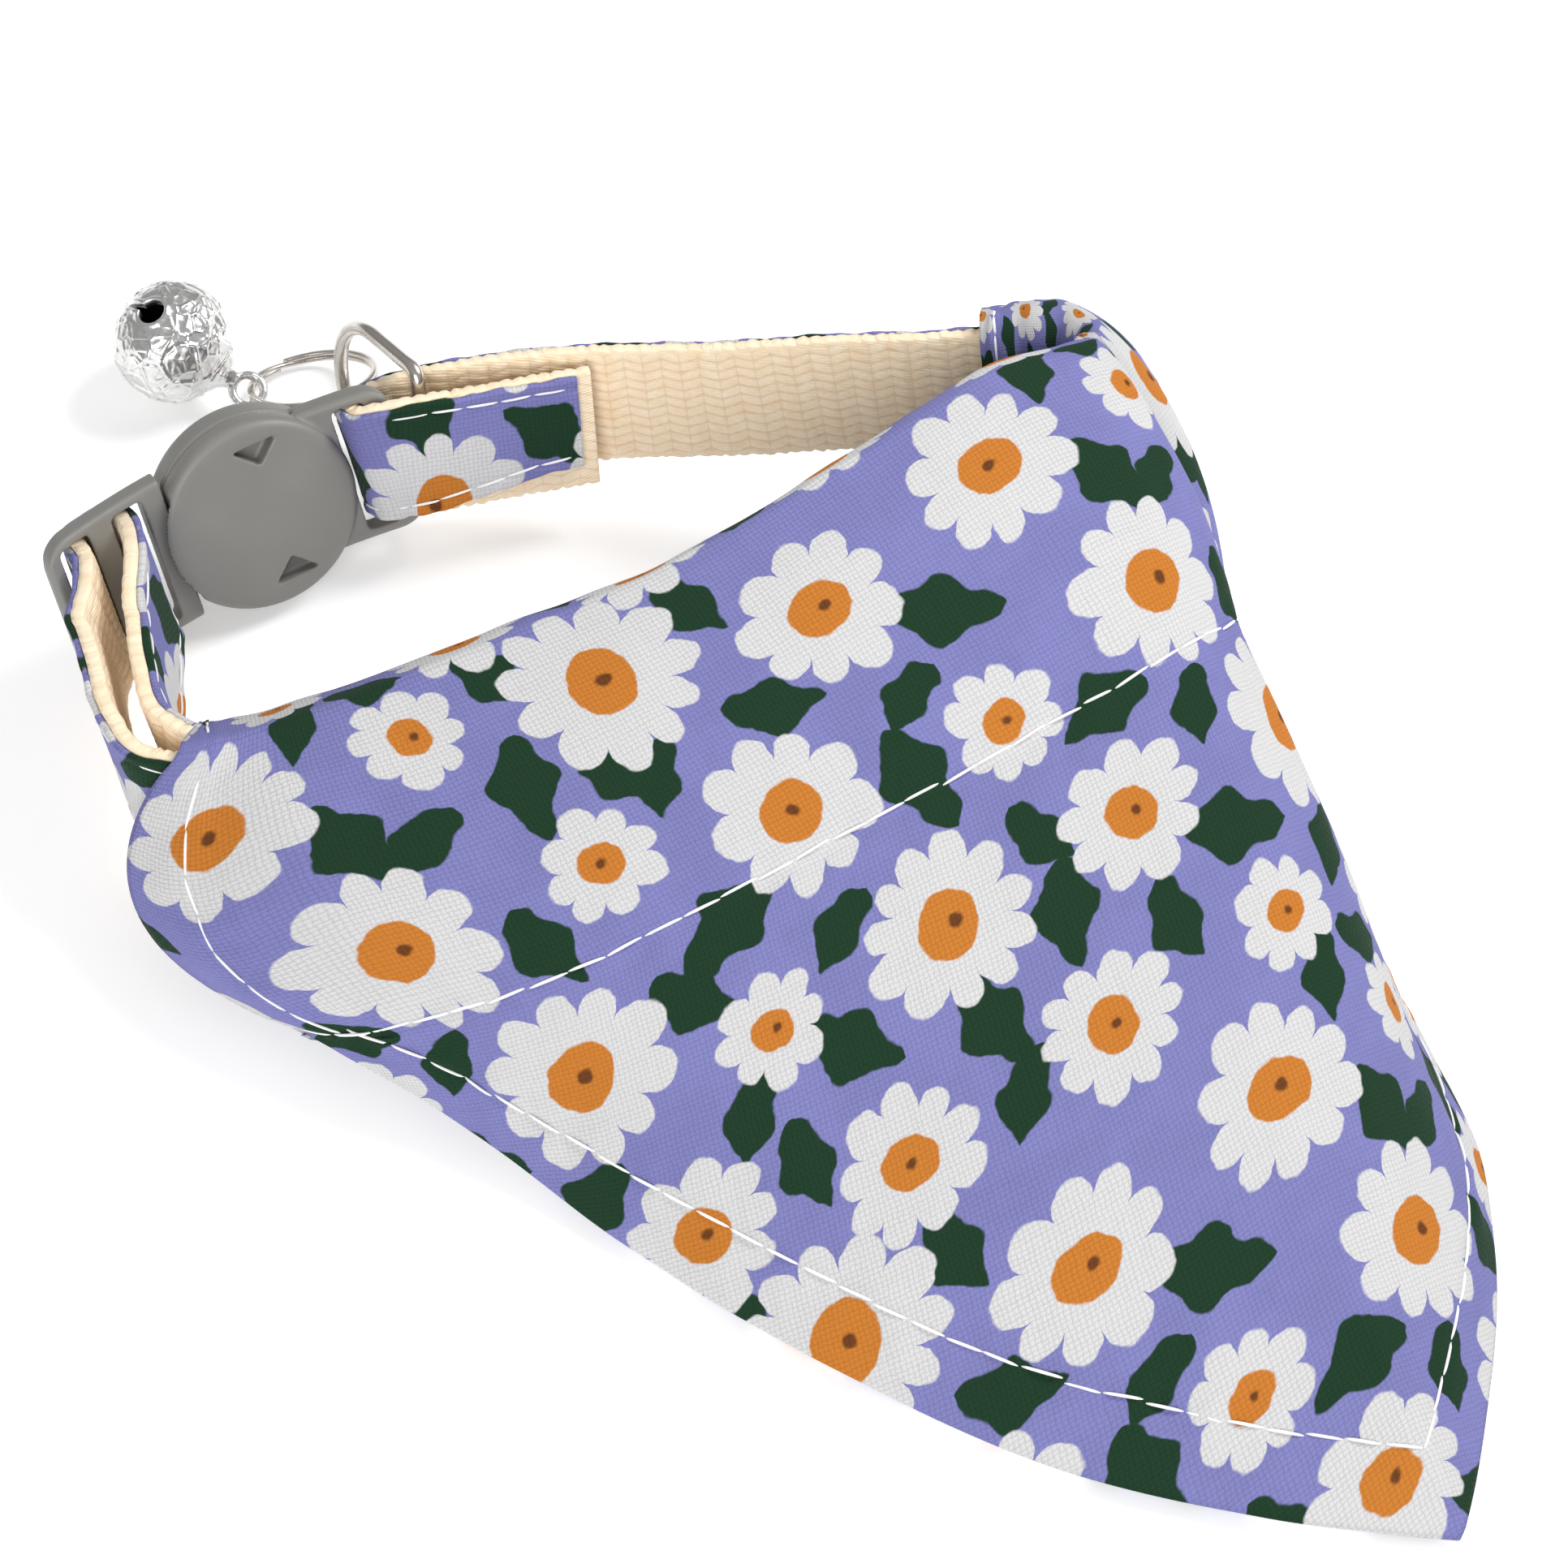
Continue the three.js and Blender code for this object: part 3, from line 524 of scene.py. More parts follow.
def print_group():
    """Colour of the printed cloth at a point of the flat cut, in millimetres."""
    g, inside, out = new_group("print", {"Point": "Vector"}, {"Colour": "Color"})
    shake = g.noise(inside["Point"], 0.75, 1.0, colour=True)
    shake = g.vector("MULTIPLY", g.vector("SUBTRACT", shake, (0.5,) * 3), (0.6,) * 3)
    point = g.vector("ADD", inside["Point"], shake)
    leaves = [(x, y, length / 2 + LEAF_EDGE, (length, width, math.radians(turn)))
              for x, y, length, width, turn in LEAVES]
    daisies = [(x, y, radius * DAISY_REACH + DAISY_EDGE, (radius, petals, turn))
               for x, y, radius, petals, turn in DAISIES]
    nearer = nearer_group()
    inked = dict.fromkeys(INKS, 0.0)
    for drawing, motifs in ((leaf_group(), leaves), (daisy_group(), daisies)):
        for kept in motif_sets(motifs):
            found = NOTHING_YET
            for x, y, reach, shape in kept:
                found = g.group(nearer, {**found, "Point": point, "Middle": (x, y, 0),
                                         "Reach": reach, "Own Shape": shape})
            drawn = g.group(drawing, {"Off": found["Off"], "Shape": found["Shape"]})
            for name, share in drawn.items():
                inked[name] = g.math("MAXIMUM", inked[name], share)
    cloudy = g.noise(inside["Point"], 0.16, 3.0, 0.6)
    colour = g.mix(g.step(cloudy, 0.35, 0.65), LAVENDER, tuple(c * 1.08 for c in LAVENDER))
    for name, ink in INKS.items():
        colour = g.mix(inked[name], colour, ink)
    g.set(out["Colour"], colour)
    return g.tree


THREAD_PITCH = 0.36
SLUBS = ((3.2, 0.12), (0.12, 3.2))     # noise drawn out along the warp and along the weft


def weave_group():
    """A plain weave: height of the threads and the share of light that they catch."""
    g, inside, out = new_group("plain weave", {"Point": "Vector"},
                               {"Height": "Float", "Thread": "Float"})
    wander = g.vector("MULTIPLY", g.noise(inside["Point"], 0.55, colour=True), (0.35,) * 3)
    x, y, _ = g.split(g.vector("ADD", inside["Point"], wander))
    sin_x, sin_y = (g.math("SINE", place * (math.pi / THREAD_PITCH)) for place in (x, y))
    over = g.step(sin_x * sin_y, -0.25, 0.25)
    height = abs(sin_x) ** 0.6 * over + abs(sin_y) ** 0.6 * (1.0 - over)
    slub_x, slub_y = (g.noise(g.join(x * a, y * b), 1.0, 1.0) for a, b in SLUBS)
    g.set(out["Height"], height)
    g.set(out["Thread"], height * 0.55 + (slub_x + slub_y) * 0.5 * 0.45)
    return g.tree


FLOAT_LENGTH = 1.5       # of one bump of the webbing's weave, along the strap
FLOAT_WIDTH = 0.82
FLOAT_SLANT = 0.55

WEAVE = weave_group()
PRINT = print_group()
BELL_RADIUS, BELL_WALL = 4.85, 0.5
BELL_CENTRE = np.array([-48.5, 35.7, BELL_RADIUS])
# Painted shade: the colour of the bell's inside, near black, standing in for the shade within it.
PAINTED_INSIDE_SHADE = (0.02, 0.02, 0.02)


def new_material(name, roughness, sheen=0.0, specular=0.5):
    material = bpy.data.materials.new(name)
    material.use_nodes = True
    g = Graph(material.node_tree)
    shader = material.node_tree.nodes["Principled BSDF"].inputs
    for socket, value in (("Roughness", roughness), ("Sheen Weight", sheen),
                          ("Specular IOR Level", specular)):
        shader[socket].default_value = value
    return material, g, shader


def printed_cotton(name, shift=(0.0, 0.0)):
    material, g, shader = new_material(name, 0.85, 0.06, 0.1)
    shader["Sheen Roughness"].default_value = 0.45
    point = g.cut_point(shift)
    weave = g.group(WEAVE, {"Point": point})
    shade = g.step(weave["Thread"], 0.25, 0.8, 0.85, 1.05)
    printed = g.group(PRINT, {"Point": point})["Colour"]
    g.set(shader["Base Color"], g.vector("MULTIPLY", printed, g.join(shade, shade, shade)))
    height = g.noise(point, 6.0, 2.0, 0.6) * 0.25 + weave["Height"]
    g.set(shader["Normal"], g.bump(height, 0.55, 0.00012))
    return material


def cream_webbing():
    material, g, shader = new_material("cream webbing", 0.9, 0.35, 0.2)
    point = g.cut_point()
    x, y, _ = g.split(point)
    cell = x / FLOAT_LENGTH
    slant = abs(g.math("FLOORED_MODULO", cell, 2.0) - 1.0)
    bump = abs(g.math("SINE", (slant * FLOAT_SLANT + y / FLOAT_WIDTH) * math.pi))
    divide = abs(g.math("SINE", cell * math.pi))
    middle = g.step(abs(y), 4.2, 4.75, 1.0, 0.0)
    # Painted shade: the valleys between the weave's floats are darkened, as if shaded, fading out near
    # the edges.
    valley_shade = g.step(bump ** 0.7 * divide ** 0.35, 0.1, 0.62, 1.0, 0.0) * middle
    strands = g.math("SINE", y * 26.0 + x * 5.0)
    mottled = g.noise(point, 0.7, 4.0, 0.65)
    fibre = g.noise(g.join(x * 1.4, y * 9.0), 1.0)
    colour = g.mix(g.step(mottled, 0.3, 0.7), (0.93, 0.73, 0.49), (0.96, 0.82, 0.61))
    colour = g.mix(g.step(fibre, 0.35, 0.7, 0.0, 0.2), colour, (0.80, 0.60, 0.41))
    # the painted valley shade is mixed in as a deeper tan
    g.set(shader["Base Color"], g.mix(valley_shade * 0.45, colour, (0.66, 0.46, 0.29)))
    g.set(shader["Normal"], g.bump(strands * 0.35 + fibre * 0.9, 0.5, 0.0001))
    return material


def thread_material():
    material, g, shader = new_material("white thread", 0.7, 0.3)
    twist = g.noise(g.coordinate(), 5200.0, 1.0)
    g.set(shader["Base Color"], g.mix(twist, (0.80, 0.79, 0.80), (0.90, 0.90, 0.88)))
    g.set(shader["Normal"], g.bump(twist, 0.4, 0.00005))
    return material


def grey_plastic():
    material, g, shader = new_material("grey plastic", 0.5)
    place = g.coordinate()
    broad = g.noise(place, 180.0, 3.0)
    fine = g.noise(place, 5200.0, 2.0, 0.6)
    g.set(shader["Base Color"], g.mix(broad, (0.188, 0.185, 0.170), (0.218, 0.214, 0.198)))
    g.set(shader["Roughness"], g.step(broad, 0.3, 0.7, 0.44, 0.56))
    g.set(shader["Normal"], g.bump(fine, 0.12, 0.00006))
    return material


def plated_metal(name, colour, roughness, grain, crush=0.0, hollow=None):
    """Plated metal. hollow is the middle and radius of a ball whose inside is painted near black and not
    metallic, as painted shade.
    """
    material, g, shader = new_material(name, roughness)
    shader["Metallic"].default_value = 1.0
    place = g.coordinate()
    broad = g.noise(place, 260.0, 3.0, 0.6)
    surface = g.mix(g.step(broad, 0.35, 0.65), colour, tuple(c * 0.86 for c in colour))
    if hollow:
        middle, radius = hollow
        outside_hollow = g.step(g.vector("DISTANCE", place, tuple(middle)), radius - 0.1 * MM, radius)
        # Painted shade: inside the hollow the surface is near black and not metallic.
        surface = g.mix(outside_hollow, PAINTED_INSIDE_SHADE, surface)
        g.set(shader["Metallic"], outside_hollow)
    g.set(shader["Base Color"], surface)
    g.set(shader["Roughness"], g.step(broad, 0.3, 0.7, roughness * 0.75, roughness * 1.3))
    normal = g.bump(g.noise(place, grain, 3.0, 0.65), 0.2, 0.00004)
    if crush:
        cells = g.named(g.add("ShaderNodeTexVoronoi", {"Vector": place, "Scale": 1500.0}))
        normal = g.bump(cells["Distance"], crush, 0.00016, normal)
    g.set(shader["Normal"], normal)
    return material


COTTON = printed_cotton("printed cotton")
FACING_COTTON = printed_cotton("printed cotton facing", (36.0, 39.0))
WEBBING = cream_webbing()
THREAD = thread_material()
PLASTIC = grey_plastic()
NICKEL = plated_metal("nickel wire", (0.66, 0.62, 0.57), 0.24, 4200.0)
SILVER = plated_metal("silver plate", (0.82, 0.82, 0.81), 0.26, 2600.0, 0.4,
                      (to_frame(BELL_CENTRE), (BELL_RADIUS - 0.35) * MM))


def finish_piece(obj, material, slot, *nodes):
    obj.data.materials.clear()
    obj.data.materials.append(material)
    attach(obj, "root")
    if nodes:
        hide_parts(*nodes)
    return obj


# ---------- bandana
# Flat cut: u runs along the fold, w runs down the cloth from the fold. The back layer of the
# sleeve has w below 0, the front layer w up to SLEEVE, and the triangle hangs below that.

TOP_WIDTH = 132.0
SLEEVE = 26.0
PANEL = 67.0
TIP_U = TOP_WIDTH / 2
FOLD_RISE, FOLD_OUT = 0.9, 0.4
ROOM_KEPT = 0.5          # of the room that the CAD leaves for the strap's tucked end
WALL_OUT, WALL_FOOT = 2.0, 1.7
PLEAT_START, PLEAT_PITCH, PLEAT_DEPTH = 78, 13, 0.9     # soft waves towards the right end
SECTIONS = [  # u, distance along the strap, room, seam, hem, swell, belly
    (0, 162.5, 4.9, (-34.6, -29.2, 4), (-34.6, -29.2, 4), (-7.8, 1.7, -4), (0, 0, 0)),
    (5, 159, 4.9, (-30.3, -30.8, 6), (-28.6, -33.2, 4), (-5.7, -1.6, -2.4), (0, 0, 0)),
    (11, 154, 4.2, (-24.9, -32, 8.6), (-21.5, -37.3, 2.4), (-2, -0.8, 0.9), (0, 0, 0)),
    (21, 144.5, 3.2, (-15.6, -30.4, 11.4), (-10.5, -45.6, 0.6), (0, -0.5, 1), (0, 0, 0.5)),
    (33, 133, 0.8, (-4.6, -25.4, 13.6), (3.4, -55.3, 0.5), (0, -0.3, 1.2), (0, 0, 0.8)),
    (45, 121, 0, (6, -19.8, 15.2), (18.3, -63.3, 0.5), (0, 0, 1.3), (0, 0, 1)),
    (56, 109.5, 0, (15.8, -14.4, 16.4), (33.3, -67.5, 0.5), (0, 0, 1.4), (0, 0, 1)),
    (66, 98.5, 0, (24.3, -9.2, 17.4), (46.6, -69.3, 0.5), (0, 0, 1.5), (0, 0, 1)),
    (73, 92, 0, (30, -5.4, 17.8), (49, -59.8, 0.5), (0.4, 0, 1.6), (0.5, 0, 1.5)),
    (80, 87, 0, (33, -2.6, 16.6), (50.3, -49.8, 0.5), (0.8, 0.5, 1.3), (0.6, 0, 1.2)),
    (90, 84, 0, (33, 1.5, 13), (49.2, -36, 0.5), (1, 1, 0.8), (-0.4, 0, 0.6)),
    (100, 81, 0, (31, 5.5, 10.5), (44.3, -22.5, 0.5), (2.5, 3, 0.6), (-0.4, 0, 0.4)),
    (110, 78.5, 0, (29, 9.5, 8), (37.5, -9.8, 0.5), (3.4, 4.6, 0), (0, 0, 0)),
    (120, 76, 0, (26.5, 13.5, 5), (30.5, 3.2, 0.5), (4, 6.2, 0), (0.3, 0.3, 0)),
    (132, 73.2, 0, (22.5, 18, 0.5), (22.5, 18, 0.5), (2.6, 6.6, 0), (0, 0, 0)),
]
SECTION_U = np.array([row[0] for row in SECTIONS], float)
SECTION_TIP = int(np.flatnonzero(SECTION_U == TIP_U)[0])
CLOTH_OUTER = 0.45       # printed side, off the middle of the sheet
CLOTH_THICKNESS = 0.4


def table_column(column, u, corner=False):
    """A column of the table as a smooth curve of u, with a corner at the tip if asked for."""
    values = np.array([np.atleast_1d(row[column]) for row in SECTIONS], float)
    if not corner:
        return column_curve(SECTION_U, values, u)
    left = column_curve(SECTION_U[:SECTION_TIP + 1], values[:SECTION_TIP + 1], u)
    right = column_curve(SECTION_U[SECTION_TIP:], values[SECTION_TIP:], u)
    return np.where((u <= TIP_U)[:, None], left, right)


def panel_length(u):
    return PANEL * (1 - np.abs(u - TIP_U) / TIP_U)


def cloth_middle(u, v):
    """The middle of the cloth. v is -1 to 0 on the back layer, to 1 on the front, to 2 below."""
    centre, _, across, outer = strap_frames(table_column(1, u)[:, 0] - CAD_TAB_LONGER)
    room = table_column(2, u) * ROOM_KEPT

    def local(out, up):
        return centre + outer * out + across * up

    fold = local(FOLD_OUT, STRAP_WIDTH / 2 + FOLD_RISE)
    seam = table_column(3, u)
    hem = table_column(4, u, corner=True)
    wave = np.sin(2 * math.pi * (u - PLEAT_START) / PLEAT_PITCH)
    pleat = np.where(u > PLEAT_START, PLEAT_DEPTH * wave, 0)[:, None] * outer
    t = np.clip(v, 0, 1)[:, None]
    front = fold + (seam - fold) * t + (table_column(5, u) * 4 + pleat) * t * (1 - t) + pleat * 0.2
    t = np.clip(v - 1, 0, 1)[:, None]
    below = seam + (hem - seam) * t + table_column(6, u) * 4 * t * (1 - t) + pleat * 0.2 * (1 - t) ** 2
    wall = np.stack([
        fold,
        local(-0.5 - room * 0.8, STRAP_WIDTH / 2 + FOLD_RISE - room * 0.3),
        local(-WALL_OUT - room, 4),
        local(-WALL_OUT - room, -4.2),
        local(-0.6 - room / 2, -STRAP_WIDTH / 2 - WALL_FOOT),
        seam,
    ], axis=1)
    back = through(wall, np.clip(-v, 0, 1)) + pleat * 0.2
    pick = v[:, None]
    return np.where(pick < 0, back, np.where(pick <= 1, front, below))


def cut_w(u, v):
    """How far down the flat cut a point of the cloth is."""
    return np.where(v <= 1, v * SLEEVE, SLEEVE + (v - 1) * panel_length(u))


def cut_v(u, w):
    return np.where(w <= SLEEVE, w / SLEEVE, 1 + (w - SLEEVE) / np.maximum(panel_length(u), 0.01))


class Ripple:
    """Soft uneven waves over the flat cloth, made of a few sines of nearly one length."""

    def __init__(self, length, count=7):
        angle = rng.uniform(0, 2 * math.pi, count)
        size = 2 * math.pi / (length * rng.uniform(0.7, 1.6, count))
        self.fx, self.fy = np.cos(angle) * size, np.sin(angle) * size
        self.phase = rng.uniform(0, 2 * math.pi, count)

    def __call__(self, u, w):
        waves = np.sin(u[..., None] * self.fx + w[..., None] * self.fy + self.phase)
        return waves.mean(-1) * 1.6


drape_ripple, crumple_ripple, pucker_ripple = Ripple(26), Ripple(9), Ripple(4.2)
HEM_STITCH = 4.7         # the sewn line, in from the slanted edges
SIDE_STITCH = 4.5
SEAM_STITCH_W = 25.2
HEM_FOLD = 5.6           # width of the turned-in hem
HEM_THICKNESS, HEM_INSET = 0.34, 0.05
HEM_PRINT_SHIFT = 40     # of the turned-in cloth's print, so that it isn't the sheet's
LAYER_GAP = 0.02         # between a layer of cloth and the next
DIAGONAL = math.sqrt(1 + (PANEL / TIP_U) ** 2)


def sewn_distance(u, w):
    """How far a point of the cut is from the nearest sewn line."""
    slant = (SLEEVE + panel_length(u) - w) / DIAGONAL
    hem_line = np.where(w > SLEEVE - 2, np.abs(slant - HEM_STITCH), 99)
    seam_line = np.abs(np.abs(w) - SEAM_STITCH_W)
    side_line = np.minimum(np.abs(u - SIDE_STITCH), np.abs(TOP_WIDTH - SIDE_STITCH - u))
    side_line = np.where(w < SLEEVE, side_line, 99)
    return np.minimum(np.minimum(hem_line, seam_line), side_line), slant


def cloth_relief(u, w):
    """Height of the creases, puckers and hems over the smooth sheet."""
    sewn, slant = sewn_distance(u, w)
    near = np.exp(-(sewn / 2.4) ** 2)
    hemmed = 1 / (1 + np.exp(np.clip((np.minimum(slant, np.where(w < SLEEVE, np.minimum(
        u, TOP_WIDTH - u), 99)) - HEM_FOLD) / 0.35, -30, 30)))
    loose = np.clip((w + SLEEVE) / 10, 0, 1)
    height = 0.34 * drape_ripple(u, w) + 0.10 * crumple_ripple(u, w)
    height += near * 0.17 * pucker_ripple(u, w)
    height += 0.13 * hemmed - 0.17 * np.exp(-(sewn / 0.45) ** 2)
    return height * loose


def cloth_rows():
    back = np.linspace(-0.985, 0, 26)
    front = np.linspace(0, 1, 44)[1:]
    below = 1 + np.linspace(0, 1, 104)[1:]
    return np.concatenate([back, front, below])


CLOTH_U = np.linspace(0, TOP_WIDTH, 205)
CLOTH_V = cloth_rows()


def cloth_arrays():
    u, v = np.meshgrid(CLOTH_U, CLOTH_V)
    middle = cloth_middle(u.ravel(), v.ravel()).reshape(*u.shape, 3)
    down = np.gradient(middle, axis=0)
    along = np.gradient(middle, axis=1)
    normal = np.cross(down, along)
    size = np.linalg.norm(normal, axis=-1, keepdims=True)
    for column in (0, -1):
        inner = 1 if column == 0 else -2
        normal[:, column], size[:, column] = normal[:, inner], size[:, inner]
    normal = normal / np.maximum(size, 1e-9)
    w = cut_w(u, v)
    relief = cloth_relief(u, w)[..., None]
    return middle + normal * (relief + CLOTH_OUTER), normal, u, w


cloth_outer, cloth_normal, cloth_u, cloth_w = cloth_arrays()


def on_cloth(u, w, depth=0.0):
    """Points on the printed side of the cloth, or depth below it, and their normals."""
    v = cut_v(u, w)
    i = np.clip(np.searchsorted(CLOTH_V, v, side="right") - 1, 0, len(CLOTH_V) - 2)
    a = np.clip((v - CLOTH_V[i]) / (CLOTH_V[i + 1] - CLOTH_V[i]), 0, 1)[:, None]
    step = CLOTH_U[1]
    j = np.clip((u / step).astype(int), 0, len(CLOTH_U) - 2)
    b = (u / step - j)[:, None]

    def read(grid):
        top = grid[i, j] * (1 - b) + grid[i, j + 1] * b
        low = grid[i + 1, j] * (1 - b) + grid[i + 1, j + 1] * b
        return top * (1 - a) + low * a

    normal = unit(read(cloth_normal))
    return read(cloth_outer) - normal * depth, normal


def sheet_object(name, points, uv, thickness):
    """A sheet of cloth over a grid of points, with its thickness behind its printed side."""
    faces = grid_faces(*points.shape[:2])[:, ::-1]
    obj = make_object(name, points.reshape(-1, 3), faces, uv.reshape(-1, 2))
    solid = weld(obj, 0.02, outwards=False).modifiers.new("thickness", "SOLIDIFY")
    solid.thickness, solid.offset, solid.use_even_offset = thickness * MM, -1.0, False
    return bake(obj)


def build_cloth():
    uv = np.stack([cloth_u, cloth_w], axis=-1)
    cloth = sheet_object("bandana_cloth", cloth_outer, uv, CLOTH_THICKNESS)
    return finish_piece(cloth, COTTON, "bandana", "bandana")


def hem_strip(name, us, ws):
    """A strip of cloth folded behind the sheet, on the grid of cut points us, ws."""
    us, ws = np.broadcast_arrays(us, ws)
    points, _ = on_cloth(us.ravel(), ws.ravel(), CLOTH_THICKNESS + LAYER_GAP)
    uv = np.stack([us + HEM_PRINT_SHIFT, -ws], axis=-1)
    return sheet_object(name, points.reshape(*us.shape, 3), uv, HEM_THICKNESS)


def build_hems():
    made = []
    for low, high in ((0.6, TIP_U), (TIP_U, TOP_WIDTH - 0.6)):
        u = np.linspace(low, high, 110)
        outer_w = SLEEVE + panel_length(u) - HEM_INSET
        inner_w = np.maximum(outer_w - HEM_FOLD * DIAGONAL, SLEEVE * 0.9)
        share = np.linspace(0, 1, 9)[:, None]
        made.append(hem_strip("slanted_hem", u, inner_w + (outer_w - inner_w) * share))
    for edge, inward in ((HEM_INSET, 1), (TOP_WIDTH - HEM_INSET, -1)):
        u = edge + inward * np.linspace(0, HEM_FOLD, 8)[None, ::inward]
        for low, high in ((-SLEEVE + 1.5, -1.5), (1.5, SLEEVE - 0.2)):
            made.append(hem_strip("side_hem", u, np.linspace(low, high, 44)[:, None]))
    return finish_piece(join(made, "bandana_hem"), COTTON, "bandana")


def join(objects, name):
    with bpy.context.temp_override(active_object=objects[0], selected_editable_objects=objects):
        bpy.ops.object.join()
    objects[0].name = name
    return objects[0]


def sewn_run(read, path, pitch=2.9, gap=0.06, wander=0.08):
    """Stitch ends along a path of cut points, each stitch a little off the line."""
    reach = line_reach(path)
    count = int(reach[-1] / pitch)
    pitch = reach[-1] / count
    first = np.arange(count) * pitch + gap / 2
    shift = rng.normal(0, wander, (2, count, 2))
    a, b = (along_line(path, reach, d) + off
            for d, off in zip((first, first + pitch - gap), shift))
    start, up = read(a[:, 0], a[:, 1])
    return start, read(b[:, 0], b[:, 1])[0], up


def sewn_piece(name, slot, runs, radius, arch):
    starts, ends, normals = (np.vstack([run[k] for run in runs]) for k in range(3))
    return finish_piece(stitches(name, starts, ends, normals, radius, arch), THREAD, slot)


def build_cloth_stitching():
    inset = HEM_STITCH * DIAGONAL
    start = (inset - 1.2) / (PANEL / TIP_U), SLEEVE - 1.2
    tip = TIP_U, SLEEVE + PANEL - inset
    paths = [(start, tip), (tip, (TOP_WIDTH - start[0], start[1])),
             ((1.0, SEAM_STITCH_W), (TOP_WIDTH - 1.0, SEAM_STITCH_W))]
    for u in (SIDE_STITCH, TOP_WIDTH - SIDE_STITCH):
        for low, high in ((-SLEEVE + 3, -2.2), (2.2, SEAM_STITCH_W)):   # none bridges the fold
            paths.append(((u, low), (u, high)))
    runs = [sewn_run(on_cloth, np.array(path)) for path in paths]
    return sewn_piece("bandana_stitching", "bandana", runs, 0.125, 0.09)


# ---------- strap pieces

EDGE_ROUND = 0.12


def band_cap(n, first):
    """Quads that close one end of a band, whose two faces are n points wide."""
    quads = [(i, i + 1, 2 * n - i, 2 * n + 1 - i) for i in range(n - 1)]
    quads += [(n - 1, n, n + 1, n + 2), (2 * n + 1, 2 * n + 2, 2 * n + 3, 0)]
    return [tuple(first + corner for corner in quad) for quad in quads]


def band(name, s, low, high, inner, outer, n, inner_relief=None, outer_relief=None):
    """A band of the strap between its edges low and high, its n-point faces joined by edges."""
    centre, _, across, out = strap_frames(s)
    y = np.linspace(-1, 1, n)
    side_y = np.concatenate([y, [1, 1], y[::-1], [-1, -1]])
    side_z = np.concatenate([np.ones(n), [0.65, 0.25], np.zeros(n), [0.35, 0.75]])
    bulge = np.concatenate([np.zeros(n), [1, 1], np.zeros(n), [-1, -1]])
    width = (high - low)[:, None] / 2 - EDGE_ROUND
    across_at = (high + low)[:, None] / 2 + side_y * width + EDGE_ROUND * bulge
    out_at = np.tile(inner + (outer - inner) * side_z, (len(s), 1))
    if inner_relief:
        out_at[:, n + 2:-2] -= inner_relief(s[:, None], across_at[:, n + 2:-2])
    if outer_relief:
        out_at[:, :n] += outer_relief(s[:, None], across_at[:, :n])
    points = centre[:, None] + across[:, None] * across_at[..., None] + out[:, None] * out_at[..., None]
    rows, columns = points.shape[:2]
    faces = [*grid_faces(rows, columns, False, True), *band_cap(n, 0),
             *band_cap(n, (rows - 1) * columns)]
    uv = np.stack([np.broadcast_to(s[:, None], across_at.shape), across_at], axis=-1)
    obj = make_object(name, points.reshape(-1, 3), faces, uv.reshape(-1, 2))
    with mesh_edit(obj) as work:
        bmesh.ops.recalc_face_normals(work, faces=work.faces)
    return obj


def webbing_relief(s, y):
    """Herringbone floats of the webbing, their columns slanting by turns."""
    cell = s / FLOAT_LENGTH
    slant = np.abs((cell % 2) - 1) * FLOAT_SLANT
    bump = np.abs(np.sin(math.pi * (y / FLOAT_WIDTH + slant)))
    divide = np.abs(np.sin(math.pi * cell)) ** 0.35
    flat_edge = np.clip((4.75 - np.abs(y)) / 0.5, 0, 1)
    return 0.24 * (bump ** 0.7 * divide - 0.35) * flat_edge


def build_webbing():
    s = np.arange(0, STRAP_LENGTH, 0.33)
    picks = np.abs(np.sin(math.pi * s / 0.99))
    width = STRAP_WIDTH / 2 - 0.14 + 0.14 * picks + 0.04 * rng.normal(0, 1, len(s))
    obj = band("strap_webbing_band", s, -width, width, WEBBING_INNER, WEBBING_OUTER, 46,
               webbing_relief)
    return finish_piece(obj, WEBBING, "strap_webbing", "strap_webbing")


TOPSTITCH_INSET = 1.0
TAB_SKEW = 1.8           # bare webbing under the facing at the end of the tab
TAB_LENGTH = 14.0
FACING_TRIM = 0.08       # each edge's wander stays this far inside the full width


def facing_low(s):
    """The facing's lower edge, which runs askew on the tab."""
    share = smooth_share(1 - (s - RAW_END) / TAB_LENGTH)
    return FACING_TRIM - FACING_WIDTH / 2 + TAB_SKEW * share


def facing_relief(s, y):
    """The facing's turned edges stand a little proud, and its stitching pulls it in."""
    inset = np.minimum(FACING_WIDTH / 2 - y, y - facing_low(s))
    ridge = 0.05 * np.exp(-((inset - 0.5) / 0.4) ** 2)
    pull = 0.1 * np.exp(-((inset - TOPSTITCH_INSET) / 0.22) ** 2)
    pucker = 0.05 * np.sin(s * 1.9 + 1.3 * np.sin(s * 0.37) + np.sign(y)) * np.exp(-(inset - 0.4) ** 2)
    return ridge - pull + pucker


def build_facing():
    s = np.linspace(RAW_END, STRAP_LENGTH - RAW_END, 560)
    wave = 0.06 * np.sin(s * 1.1) + 0.05 * np.sin(s * 2.7 + 1)
    obj = band("strap_facing_band", s, facing_low(s) - wave, FACING_WIDTH / 2 + wave - FACING_TRIM,
               WEBBING_OUTER + LAYER_GAP, FACING_OUTER, 40, None, facing_relief)
    return finish_piece(obj, FACING_COTTON, "strap_facing", "strap_facing")


def on_facing(s, y):
    centre, _, across, out = strap_frames(s)
    height = FACING_OUTER + facing_relief(s, y)
    return centre + across * y[:, None] + out * height[:, None], out


def build_facing_stitching():
    s = np.linspace(RAW_END + 0.8, STRAP_LENGTH - RAW_END - 0.8, 400)
    upper = np.full(len(s), FACING_WIDTH / 2 - TOPSTITCH_INSET)
    lower = facing_low(s) + TOPSTITCH_INSET
    runs = [sewn_run(on_facing, np.column_stack([s, y]), 2.7, 0.06, 0.05) for y in (upper, lower)]
    return sewn_piece("strap_stitching", "strap_facing", runs, 0.11, 0.07)


# ---------- buckle

